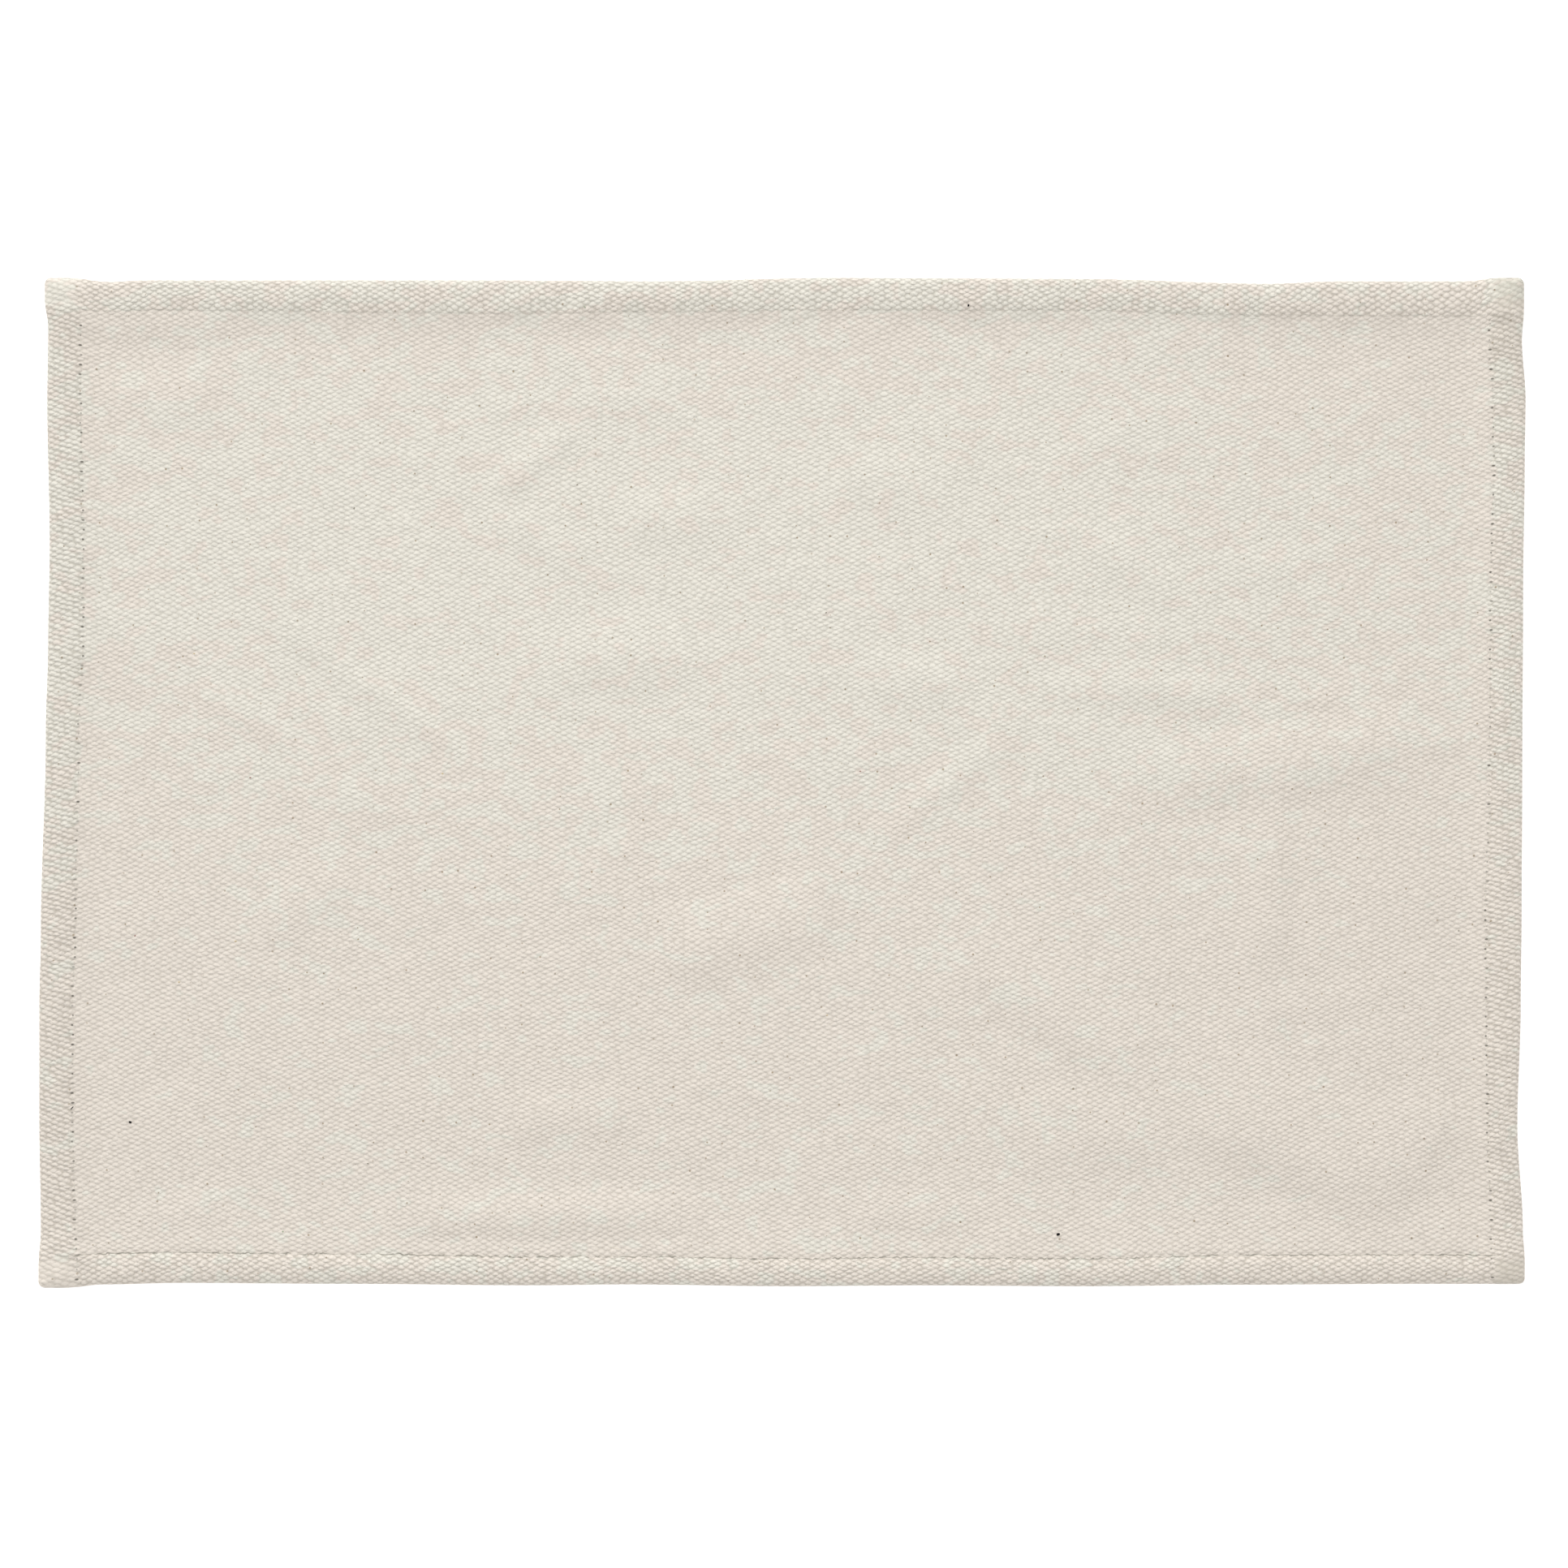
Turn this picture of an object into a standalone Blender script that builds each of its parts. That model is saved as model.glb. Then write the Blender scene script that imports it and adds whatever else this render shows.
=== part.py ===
"""A cloth placemat of heavy plain-woven canvas, lying face up on a table.

The four sides are turned twice to the back and sewn through, so a hem is three layers
thick and a corner more. Metres, +Z up. The origin is on the table under the middle of the
mat, +X runs along its long side and +Y towards its far side.
"""

import bmesh
import bpy
import numpy as np

MM = 0.001

# Overall size, over the furthest points of the uneven edges
LENGTH = 488.0 * MM
DEPTH = 331.4 * MM

# Heights above the table
CLOTH = 1.2 * MM
HEM_HEIGHT = 3.3 * MM
CORNER_HEIGHT = 4.8 * MM

# Hem widths from the edge to the seam, before the unevenness in the tables
SIDE_HEM = 11.0 * MM
END_HEM = 10.0 * MM
INNER_FOLD = 0.9 * MM  # the turned-in layers reach this far past the seam
FOLD_STEP = 0.4 * MM  # run of the steep underside at the inner fold
SEAM_GROOVE = 0.5 * MM
GROOVE_RUN = 1.6 * MM
HEM_SLOPE = 10.0 * MM  # run over which the face comes down to the table beside a hem

# Rounded rim: the folded edge turns over within this run, and so do the corners in plan
EDGE_ROUND = 1.9 * MM
RIM_MIDDLE = 0.5 * MM
RIM_HALF_HEIGHTS = (0.24, 0.42)  # shares of the height, at the rim and at its middle run

# Grid lines inside a hem, as shares of its width, and the widest gaps over the body
HEM_LINES = (0.5, 0.82)
SLOPE_LINE = 0.36
BODY_STEP_X = 14.0 * MM
BODY_STEP_Y = 9.0 * MM

CANVAS_COLOUR = (0.76, 0.71, 0.61, 1.0)
CANVAS_ROUGHNESS = 0.92

# Uneven edges in millimetres.
# Columns: place along the edge, inset from the overall box, hem width from edge to seam
LEFT_EDGE = (
    (-160.0, 0.0, 13.2),
    (-147.0, 0.8, 11.5),
    (-113.0, 0.3, 11.1),
    (-73.0, 0.3, 11.1),
    (-49.0, 0.8, 11.5),
    (15.0, 2.4, 10.9),
    (47.0, 3.2, 11.7),
    (78.0, 3.7, 11.3),
    (126.0, 2.9, 11.2),
    (150.0, 3.2, 10.9),
    (159.0, 2.1, 12.0),
)
RIGHT_EDGE = (
    (-158.0, 0.3, 11.2),
    (-147.0, 0.9, 10.7),
    (-113.0, 2.7, 10.1),
    (-73.0, 1.6, 11.6),
    (-41.0, 1.3, 12.0),
    (0.0, 1.1, 10.9),
    (65.0, 0.8, 10.9),
    (105.0, 0.3, 10.4),
    (128.0, 0.0, 11.1),
    (147.0, 1.2, 10.9),
    (158.0, 0.5, 11.6),
)
FAR_EDGE = (
    (-237.0, 0.0, 10.4),
    (-224.0, 1.3, 9.9),
    (-212.0, 0.8, 9.9),
    (-94.0, 0.8, 10.9),
    (-42.0, 1.1, 10.2),
    (16.0, 0.0, 10.6),
    (95.0, 0.3, 10.4),
    (161.0, 1.9, 10.6),
    (183.0, 1.1, 11.4),
    (226.0, 1.1, 11.6),
    (236.0, 0.0, 12.0),
)
NEAR_EDGE = (
    (-237.0, 0.0, 10.8),
    (-225.0, 1.1, 10.2),
    (-200.0, 1.6, 10.1),
    (-142.0, 1.3, 9.9),
    (-84.0, 0.8, 9.5),
    (-52.0, 1.1, 9.3),
    (2.0, 0.5, 9.1),
    (44.0, 0.8, 9.3),
    (98.0, 0.5, 9.1),
    (151.0, 1.0, 9.8),
    (204.0, 1.3, 9.6),
)

# Soft folds that lift the cloth off the table, in millimetres and degrees.
# Columns: middle x, middle y, turn from +X, length, half width, height
FOLDS = (
    (168.0, 9.0, 8.0, 96.0, 16.0, 1.6),
    (207.0, 15.0, -3.0, 50.0, 10.0, 0.6),
    (130.0, 31.0, -16.0, 58.0, 10.0, 0.5),
    (-78.0, -141.5, 1.0, 100.0, 10.0, 1.0),
    (-196.0, -141.0, 6.0, 40.0, 10.0, 0.5),
    (-53.0, 41.0, 2.0, 72.0, 15.0, 0.9),
    (44.0, 33.0, -4.0, 48.0, 12.0, 0.9),
    (-13.0, -48.5, 22.0, 64.0, 14.0, 1.3),
    (-121.0, 22.0, -35.0, 62.0, 10.0, 0.4),
    (-154.0, -45.0, 34.0, 46.0, 10.0, 0.7),
    (82.0, -78.0, -27.0, 92.0, 12.0, 0.9),
    (156.0, -127.0, -20.0, 92.0, 12.0, 1.1),
    (206.0, -120.0, 54.0, 50.0, 12.0, 0.9),
    (163.0, -38.0, 90.0, 60.0, 11.0, 0.9),
    (-203.0, 126.0, 0.0, 52.0, 12.0, 0.8),
    (-82.0, 112.0, 40.0, 40.0, 10.0, 0.6),
    (-38.0, 85.0, 0.0, 44.0, 13.0, 0.9),
    (-53.0, 127.0, 3.0, 42.0, 11.0, 0.8),
    (-68.0, -106.0, 4.0, 56.0, 12.0, 0.8),
    (52.0, -138.0, 2.0, 44.0, 10.0, 0.7),
)
FOLD_CREST = 0.35  # share of a fold's half length that keeps its full height


def eased(share):
    """0 up to 0, 1 from 1 on, and a smooth climb between."""
    share = np.clip(share, 0.0, 1.0)
    return share * share * (3.0 - 2.0 * share)


def along_edge(rows, place):
    """Inset and hem width in metres at each place along an edge, eased from row to row."""
    places, insets, hems = np.array(rows).T * MM
    row = np.clip(np.searchsorted(places, place) - 1, 0, len(places) - 2)
    share = eased((place - places[row]) / (places[row + 1] - places[row]))
    inset = insets[row] + (insets[row + 1] - insets[row]) * share
    hem = hems[row] + (hems[row + 1] - hems[row]) * share
    return inset, hem


def grid_lines(size, hem, body_step):
    """Distances of the grid lines from one edge to the other: dense in the hems, even between."""
    rim = [0.0, RIM_MIDDLE, EDGE_ROUND]
    in_hem = [hem * share for share in HEM_LINES]
    at_seam = [hem, hem + INNER_FOLD, hem + INNER_FOLD + FOLD_STEP]
    beside = [hem + HEM_SLOPE * SLOPE_LINE, hem + HEM_SLOPE]
    start = np.array(rim + in_hem + at_seam + beside)
    body = size - 2.0 * start[-1]
    steps = int(np.ceil(body / body_step))
    between = start[-1] + body * np.arange(1, steps) / steps
    return np.concatenate([start, between, size - start[::-1]])


def rounded_corner(from_side, from_end):
    """The two distances from the edges, drawn onto quarter rings where both are within the round."""
    side = EDGE_ROUND - from_side
    end = EDGE_ROUND - from_end
    in_corner = (side > 0.0) & (end > 0.0)
    reach = np.where(in_corner, np.hypot(side, end), 1.0)
    pull = np.where(in_corner, np.maximum(side, end) / reach, 1.0)
    return EDGE_ROUND - side * pull, EDGE_ROUND - end * pull


def across(low_edge, high_edge, place, from_low, size, hem):
    """Coordinate across the mat: each hem is stretched to its own width, the body fills the rest."""
    low_inset, low_hem = along_edge(low_edge, place)
    high_inset, high_hem = along_edge(high_edge, place)
    from_high = size - from_low
    low_seam = -size / 2.0 + low_inset + low_hem
    high_seam = size / 2.0 - high_inset - high_hem
    body_share = (from_low - hem) / (size - 2.0 * hem)
    in_body = low_seam + (high_seam - low_seam) * body_share
    in_low = low_seam - low_hem * (1.0 - from_low / hem)
    in_high = high_seam + high_hem * (1.0 - from_high / hem)
    return np.where(from_low < hem, in_low, np.where(from_high < hem, in_high, in_body))


def hem_share(distance, hem):
    """1 over a hem and 0 on the body, coming down over the slope beside the seam."""
    return 1.0 - eased((distance - hem) / HEM_SLOPE)


def seam_dip(distance, hem):
    """Depth of the groove that the stitches pull in along a seam."""
    return SEAM_GROOVE * (1.0 - eased(np.abs(distance - hem) / GROOVE_RUN))


def fold_lift(x, y):
    """Height of the soft folds at each point: a rounded ridge across, tapered at its ends."""
    lift = np.zeros_like(x)
    for middle_x, middle_y, turn, length, half_width, height in FOLDS:
        angle = np.radians(turn)
        right = x - middle_x * MM
        up = y - middle_y * MM
        run = np.abs(right * np.cos(angle) + up * np.sin(angle)) / (length * MM / 2.0)
        side = np.clip((up * np.cos(angle) - right * np.sin(angle)) / (half_width * MM), -1.0, 1.0)
        taper = 1.0 - eased((run - FOLD_CREST) / (1.0 - FOLD_CREST))
        lift += height * MM * taper * (1.0 - side * side) ** 2
    return lift


def mat_surfaces():
    """Face and underside of the mat as two arrays of points over the same grid."""
    line_x = grid_lines(LENGTH, SIDE_HEM, BODY_STEP_X)
    line_y = grid_lines(DEPTH, END_HEM, BODY_STEP_Y)
    from_left, from_near = np.meshgrid(line_x, line_y, indexing="ij")
    from_side = np.minimum(from_left, LENGTH - from_left)
    from_end = np.minimum(from_near, DEPTH - from_near)

    round_side, round_end = rounded_corner(from_side, from_end)
    plan_left = np.where(from_left < LENGTH / 2.0, round_side, LENGTH - round_side)
    plan_near = np.where(from_near < DEPTH / 2.0, round_end, DEPTH - round_end)
    x = across(LEFT_EDGE, RIGHT_EDGE, plan_near - DEPTH / 2.0, plan_left, LENGTH, SIDE_HEM)
    y = across(NEAR_EDGE, FAR_EDGE, plan_left - LENGTH / 2.0, plan_near, DEPTH, END_HEM)
    x -= (x.min() + x.max()) / 2.0
    y -= (y.min() + y.max()) / 2.0

    side = hem_share(from_side, SIDE_HEM)
    end = hem_share(from_end, END_HEM)
    either = side + end - side * end
    face = CLOTH + (HEM_HEIGHT - CLOTH) * either + (CORNER_HEIGHT - HEM_HEIGHT) * side * end
    in_side_hem = from_side <= SIDE_HEM + INNER_FOLD
    in_end_hem = from_end <= END_HEM + INNER_FOLD
    underside = np.where(in_side_hem | in_end_hem, 0.0, face - CLOTH)
    groove = np.maximum(seam_dip(from_side, SIDE_HEM), seam_dip(from_end, END_HEM) * (1.0 - side))
    face = face - groove

    from_rim = np.minimum(from_side, from_end)
    rim_share = np.interp(from_rim, (0.0, RIM_MIDDLE, EDGE_ROUND), (*RIM_HALF_HEIGHTS, 0.5))
    rim_middle = (face + underside) / 2.0
    half = (face - underside) * rim_share
    lift = fold_lift(x, y)
    top = np.stack([x, y, rim_middle + half + lift], axis=-1)
    bottom = np.stack([x, y, rim_middle - half + lift], axis=-1)
    return top, bottom


def canvas():
    """Undyed cotton: cream and dull."""
    material = bpy.data.materials.new("cotton_canvas")
    material.use_nodes = True
    shader = material.node_tree.nodes["Principled BSDF"]
    shader.inputs["Base Color"].default_value = CANVAS_COLOUR
    shader.inputs["Roughness"].default_value = CANVAS_ROUGHNESS
    shader.inputs["Metallic"].default_value = 0.0
    return material


def mat():
    """A grid sheet and its extruded underside, each vertex set to its place on the mat."""
    top, bottom = mat_surfaces()
    cells_x = top.shape[0] - 1
    cells_y = top.shape[1] - 1
    form = bmesh.new()
    bmesh.ops.create_grid(form, x_segments=cells_x, y_segments=cells_y, size=1.0)
    sheet = bmesh.ops.extrude_face_region(form, geom=form.faces[:])
    lower = {piece for piece in sheet["geom"] if isinstance(piece, bmesh.types.BMVert)}
    for vertex in form.verts:
        column = round((vertex.co.x + 1.0) / 2.0 * cells_x)
        row = round((vertex.co.y + 1.0) / 2.0 * cells_y)
        surface = bottom if vertex in lower else top
        vertex.co = surface[column, row]
    bmesh.ops.recalc_face_normals(form, faces=form.faces[:])
    mesh = bpy.data.meshes.new("mat")
    form.to_mesh(mesh)
    form.free()
    mesh.materials.append(canvas())
    mesh.shade_smooth()
    mesh.set_sharp_from_angle(angle=np.radians(50.0))
    cloth = bpy.data.objects.new("mat", mesh)
    bpy.context.scene.collection.objects.link(cloth)
    return cloth


for old in list(bpy.data.objects):
    bpy.data.objects.remove(old, do_unlink=True)
mat()
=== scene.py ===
# %% [markdown]
# # A canvas placemat
#
# The real mat is one rectangle of heavy, undyed cotton canvas. Its four sides are turned
# twice to the back and sewn through, so each hem is three layers thick, and where two hems
# cross, at the corners, there are more. It lies face up on a table, seen from straight above.
#
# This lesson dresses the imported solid, which already has the true outline. The cloth is
# worked out again on a much finer grid, then come the sewing thread, the weave, the table
# and the light. All lengths are in metres.

import bpy
import numpy as np
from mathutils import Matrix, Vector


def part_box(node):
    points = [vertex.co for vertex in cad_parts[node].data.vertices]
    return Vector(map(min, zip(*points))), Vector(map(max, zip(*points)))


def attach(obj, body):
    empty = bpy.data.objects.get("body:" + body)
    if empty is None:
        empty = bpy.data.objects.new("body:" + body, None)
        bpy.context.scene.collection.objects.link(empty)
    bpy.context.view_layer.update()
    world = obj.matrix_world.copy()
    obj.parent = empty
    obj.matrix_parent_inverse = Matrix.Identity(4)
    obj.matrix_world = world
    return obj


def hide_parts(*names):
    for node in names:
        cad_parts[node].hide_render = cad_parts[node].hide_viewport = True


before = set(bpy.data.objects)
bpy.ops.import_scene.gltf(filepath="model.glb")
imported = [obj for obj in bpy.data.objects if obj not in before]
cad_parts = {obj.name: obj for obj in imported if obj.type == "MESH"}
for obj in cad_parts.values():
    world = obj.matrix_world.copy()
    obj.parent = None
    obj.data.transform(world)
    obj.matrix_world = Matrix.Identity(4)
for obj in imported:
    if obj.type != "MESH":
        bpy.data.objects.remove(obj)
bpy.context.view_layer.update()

MM = 0.001
low, high = np.array(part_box("mat"))
LENGTH, DEPTH, TALLEST = high - low
print(f"mat: {LENGTH / MM:.1f} x {DEPTH / MM:.1f} x {TALLEST / MM:.1f} mm")

# %% [markdown]
# ## The uneven edges
#
# Nobody turns a hem perfectly straight. Each edge wanders by a millimetre or two, each hem
# is a little wider here than there, and the bulky corners push out as small ears. One way to
# draw this is to trace an outline. A short table an edge is easier to read and to change:
# a place along the edge, how far the edge lies inside the overall box there, and the width
# of the hem there. Between the rows both are eased, so no kink shows.

# %% Tables of the four edges
# Columns: place along the edge, inset from the box, hem width from edge to seam, in mm
LEFT_EDGE = (
    (-160.0, 0.0, 13.2),
    (-147.0, 0.8, 11.5),
    (-113.0, 0.3, 11.1),
    (-73.0, 0.3, 11.1),
    (-49.0, 0.8, 11.5),
    (15.0, 2.4, 10.9),
    (47.0, 3.2, 11.7),
    (78.0, 3.7, 11.3),
    (126.0, 2.9, 11.2),
    (150.0, 3.2, 10.9),
    (159.0, 2.1, 12.0),
)
RIGHT_EDGE = (
    (-158.0, 0.3, 11.2),
    (-147.0, 0.9, 10.7),
    (-113.0, 2.7, 10.1),
    (-73.0, 1.6, 11.6),
    (-41.0, 1.3, 12.0),
    (0.0, 1.1, 10.9),
    (65.0, 0.8, 10.9),
    (105.0, 0.3, 10.4),
    (128.0, 0.0, 11.1),
    (147.0, 1.2, 10.9),
    (158.0, 0.5, 11.6),
)
FAR_EDGE = (
    (-237.0, 0.0, 10.4),
    (-224.0, 1.3, 9.9),
    (-212.0, 0.8, 9.9),
    (-94.0, 0.8, 10.9),
    (-42.0, 1.1, 10.2),
    (16.0, 0.0, 10.6),
    (95.0, 0.3, 10.4),
    (161.0, 1.9, 10.6),
    (183.0, 1.1, 11.4),
    (226.0, 1.1, 11.6),
    (236.0, 0.0, 12.0),
)
NEAR_EDGE = (
    (-237.0, 0.0, 10.8),
    (-225.0, 1.1, 10.2),
    (-200.0, 1.6, 10.1),
    (-142.0, 1.3, 9.9),
    (-84.0, 0.8, 9.5),
    (-52.0, 1.1, 9.3),
    (2.0, 0.5, 9.1),
    (44.0, 0.8, 9.3),
    (98.0, 0.5, 9.1),
    (151.0, 1.0, 9.8),
    (204.0, 1.3, 9.6),
)


def eased(share):
    """0 up to 0, 1 from 1 on, and between them 3 s squared less 2 s cubed, a smooth climb."""
    share = np.clip(share, 0.0, 1.0)
    return share * share * (3.0 - 2.0 * share)


def along_edge(rows, place):
    """Inset and hem width at each place, mixed from the two nearest rows by the eased share."""
    places, insets, hems = np.array(rows).T * MM
    row = np.clip(np.searchsorted(places, place) - 1, 0, len(places) - 2)
    share = eased((place - places[row]) / (places[row + 1] - places[row]))
    inset = insets[row] + (insets[row + 1] - insets[row]) * share
    hem = hems[row] + (hems[row + 1] - hems[row]) * share
    return inset, hem


EDGES = {"left": LEFT_EDGE, "right": RIGHT_EDGE, "far": FAR_EDGE, "near": NEAR_EDGE}
for name, rows in EDGES.items():
    widths = np.array(rows)[:, 2]
    print(f"{name} hem: {widths.min():.1f} to {widths.max():.1f} mm wide")

# %% [markdown]
# ## From a plain rectangle to the real outline
#
# Every point of the cloth starts as two plain distances, from the left edge and from the near
# edge of a perfect rectangle. A map then stretches each hem to its own width and lets the body
# fill the rest. Working in the plain rectangle keeps all that follows simple: a seam is always
# at the same plain distance, and only the map knows how crooked it really runs.

# %% Map of the plain rectangle
SIDE_HEM = 11.0 * MM
END_HEM = 10.0 * MM
EDGE_ROUND = 1.9 * MM  # the folded edge turns over within this run


def across(low_edge, high_edge, place, from_low, size, hem):
    """Coordinate across the mat: linear over each hem, and over the body between the seams."""
    low_inset, low_hem = along_edge(low_edge, place)
    high_inset, high_hem = along_edge(high_edge, place)
    from_high = size - from_low
    low_seam = -size / 2.0 + low_inset + low_hem
    high_seam = size / 2.0 - high_inset - high_hem
    body_share = (from_low - hem) / (size - 2.0 * hem)
    in_body = low_seam + (high_seam - low_seam) * body_share
    in_low = low_seam - low_hem * (1.0 - from_low / hem)
    in_high = high_seam + high_hem * (1.0 - from_high / hem)
    return np.where(from_low < hem, in_low, np.where(from_high < hem, in_high, in_body))


def rounded_corner(from_side, from_end):
    """Both distances, drawn onto quarter rings: within the round, the square becomes a disc."""
    side = EDGE_ROUND - from_side
    end = EDGE_ROUND - from_end
    in_corner = (side > 0.0) & (end > 0.0)
    reach = np.where(in_corner, np.hypot(side, end), 1.0)
    pull = np.where(in_corner, np.maximum(side, end) / reach, 1.0)
    return EDGE_ROUND - side * pull, EDGE_ROUND - end * pull


def plan(from_left, from_near):
    """Where a point of the plain rectangle lies on the table: the corner rounding, then the map."""
    from_side = np.minimum(from_left, LENGTH - from_left)
    from_end = np.minimum(from_near, DEPTH - from_near)
    side, end = rounded_corner(from_side, from_end)
    left = np.where(from_left < LENGTH / 2.0, side, LENGTH - side)
    near = np.where(from_near < DEPTH / 2.0, end, DEPTH - end)
    x = across(LEFT_EDGE, RIGHT_EDGE, near - DEPTH / 2.0, left, LENGTH, SIDE_HEM)
    y = across(NEAR_EDGE, FAR_EDGE, left - LENGTH / 2.0, near, DEPTH, END_HEM)
    return x, y


# %% [markdown]
# ## Folds and small waves
#
# Cloth that was folded and laid out again keeps soft creases. The large ones are placed one by
# one, as rows of a table. Each is a ridge whose section is a rounded bump and whose height
# dies away at its two ends. Where the cloth falls off slowly behind a crease, the far flank of
# the bump is drawn out. Cloth simulation could crease a sheet too, but not in the places where
# this cloth has them. Between the creases the cloth is never quite even, so a few dozen long
# waves in random directions, drawn from a fixed seed, add a tenth of a millimetre.

# %% Creases and waves
# Columns: middle x, middle y, turn from +X in degrees, length, half width, height, in mm,
# and how many times longer the far flank is than the near one
FOLDS = (
    (163.0, 6.5, 8.0, 116.0, 16.5, 1.7, 1.0),
    (207.0, 15.0, -3.0, 50.0, 9.0, 0.6, 1.0),
    (130.0, 31.0, -16.0, 58.0, 9.0, 0.5, 1.0),
    (-78.0, -141.5, 1.0, 125.0, 9.5, 1.4, 1.0),
    (-196.0, -141.0, 18.0, 40.0, 8.0, 0.6, 1.0),
    (-53.0, 41.0, 2.0, 72.0, 15.0, 1.0, 1.0),
    (44.0, 33.0, -4.0, 48.0, 12.0, 0.9, 1.0),
    (-11.0, -49.0, 20.0, 78.0, 17.5, 1.6, 1.0),
    (54.0, -0.5, 40.0, 70.0, 9.0, 0.85, 0.8),
    (-133.0, 29.5, -36.0, 96.0, 6.5, 0.75, 1.0),
    (-177.0, 23.0, -28.0, 54.0, 7.0, 0.6, 1.0),
    (-156.0, -40.0, 34.0, 50.0, 9.0, 0.8, 2.0),
    (86.0, -75.5, -34.0, 98.0, 12.0, 1.25, 2.0),
    (165.0, -122.0, -24.0, 98.0, 14.0, 1.7, 2.2),
    (209.0, -120.5, 54.0, 52.0, 11.0, 1.1, 1.8),
    (161.0, -32.0, 90.0, 78.0, 8.0, 1.5, 1.8),
    (104.0, -119.0, 3.0, 72.0, 11.0, 0.85, 2.2),
    (117.0, 29.5, -4.0, 84.0, 7.0, 0.7, 1.0),
    (108.0, 49.0, -6.0, 70.0, 6.0, 0.35, 1.0),
    (183.0, 26.0, -15.0, 66.0, 6.0, 0.4, 1.0),
    (-203.0, 126.0, 0.0, 52.0, 12.0, 0.8, 1.0),
    (-80.0, 107.0, 40.0, 46.0, 7.5, 1.05, 1.0),
    (-206.0, 149.5, -2.0, 70.0, 9.0, 0.8, 1.0),
    (18.0, 146.0, 8.0, 40.0, 8.0, 0.6, 1.0),
    (130.0, 144.0, 4.0, 46.0, 8.0, 0.5, 1.0),
    (-60.0, 138.0, 0.0, 44.0, 8.0, 0.5, 1.0),
    (-84.0, 125.0, 10.0, 36.0, 7.0, 0.4, 1.0),
    (-135.0, -8.0, -28.0, 36.0, 6.0, 0.4, 1.0),
    (-79.0, 80.0, -28.0, 42.0, 8.0, 0.6, 1.0),
    (-38.0, 86.0, 0.0, 44.0, 13.0, 1.15, 1.0),
    (-53.0, 127.0, 3.0, 42.0, 11.0, 0.8, 1.0),
    (36.0, 99.0, -4.0, 50.0, 12.0, 0.5, 1.0),
    (-70.0, -109.0, 4.0, 58.0, 12.0, 0.9, 1.0),
    (42.0, -141.0, 2.0, 50.0, 10.0, 0.9, 1.0),
    (160.0, 71.0, 0.0, 34.0, 10.0, 0.45, 1.0),
    (116.0, 70.0, -33.0, 44.0, 9.0, 0.75, 1.0),
    (178.0, -72.0, 6.0, 56.0, 9.0, 0.5, 1.0),
    (215.0, -146.0, 0.0, 30.0, 10.0, 0.4, 1.0),
    (-16.0, -101.0, -10.0, 36.0, 9.0, 0.5, 1.0),
    (-125.0, -80.0, 12.0, 50.0, 14.0, 0.3, 1.0),
    (120.0, 118.0, 6.0, 54.0, 14.0, 0.3, 1.0),
)
FOLD_CREST = 0.35  # share of a fold's half length that keeps its full height


def fold_lift(x, y):
    """Sum over the folds of height times (1 - side squared) squared, times the eased taper of its
    ends. On the far flank the side distance is first divided by that flank's extra length."""
    lift = np.zeros_like(x)
    for middle_x, middle_y, turn, length, half_width, height, far_flank in FOLDS:
        angle = np.radians(turn)
        right = x - middle_x * MM
        up = y - middle_y * MM
        run = np.abs(right * np.cos(angle) + up * np.sin(angle)) / (length * MM / 2.0)
        side = (up * np.cos(angle) - right * np.sin(angle)) / (half_width * MM)
        side = np.clip(np.where(side > 0.0, side / far_flank, side), -1.0, 1.0)
        taper = 1.0 - eased((run - FOLD_CREST) / (1.0 - FOLD_CREST))
        lift += height * MM * taper * (1.0 - side * side) ** 2
    return lift


def waves(x, y, wavelength, seed, stretch_x=1.0, count=40):
    """Sum of sine waves of random direction and of nearly one length, scaled to a spread of 1."""
    draw = np.random.default_rng(seed)
    total = np.zeros_like(x)
    for _ in range(count):
        angle = draw.uniform(0.0, np.pi)
        length = wavelength * draw.uniform(0.7, 1.6)
        start = draw.uniform(0.0, 2.0 * np.pi)
        phase = (x / stretch_x * np.cos(angle) + y * np.sin(angle)) / length
        total += np.sin(2.0 * np.pi * phase + start)
    return total / np.sqrt(count / 2.0)


# %% [markdown]
# ## Heights of the face and of the underside
#
# Seen in section, the cloth is flat on the table over the hem, which is three layers thick,
# and past the turned-in edge only one layer is left. Canvas is stiff, so it comes down to the
# table over about a centimetre. The stitches pull a groove along the seam, and the hem swells
# a little between edge and seam. At the outer edge the cloth turns over in a round.

# %% Section of the hem
CLOTH = 1.2 * MM
HEM_HEIGHT = 2.9 * MM
HEM_SWELL = 0.68 * MM
NEAR_SWELL = 0.9 * MM
SIDE_SLOPE = 10.0 * MM
FAR_SLOPE = 12.5 * MM
NEAR_SLOPE = 27.0 * MM
SEAM_GROOVE = 0.24 * MM
FAR_GROOVE = 0.06 * MM
NEAR_GROOVE = 0.26 * MM
GROOVE_RUN = 1.0 * MM
NEAR_RUN = 1.5 * MM
CORNER_DOME = 6.0 * MM
CORNER_CALM = 0.3  # share of the side hems' own form that is lost where they cross the others
GROOVE_WANDER = 0.35 * MM
WANDER_LENGTH = 5.5 * MM
INNER_FOLD = 0.9 * MM  # the turned-in edge lies this far past the seam
FOLD_ROUND = 0.7 * MM
PUCKER = 0.16 * MM
PUCKER_LENGTH = 11.0 * MM
PUCKER_MIDDLE = 0.8  # share of the hem's width
PUCKER_REACH = 0.9  # share of the hem's width
UNEVEN = 0.07 * MM
UNEVEN_LENGTH = 26.0 * MM
FINE_UNEVEN = 0.55 * UNEVEN
FINE_LENGTH = 7.5 * MM
BACK_GROOVE = 0.3 * MM
BACK_RUN = 0.8 * MM


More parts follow.
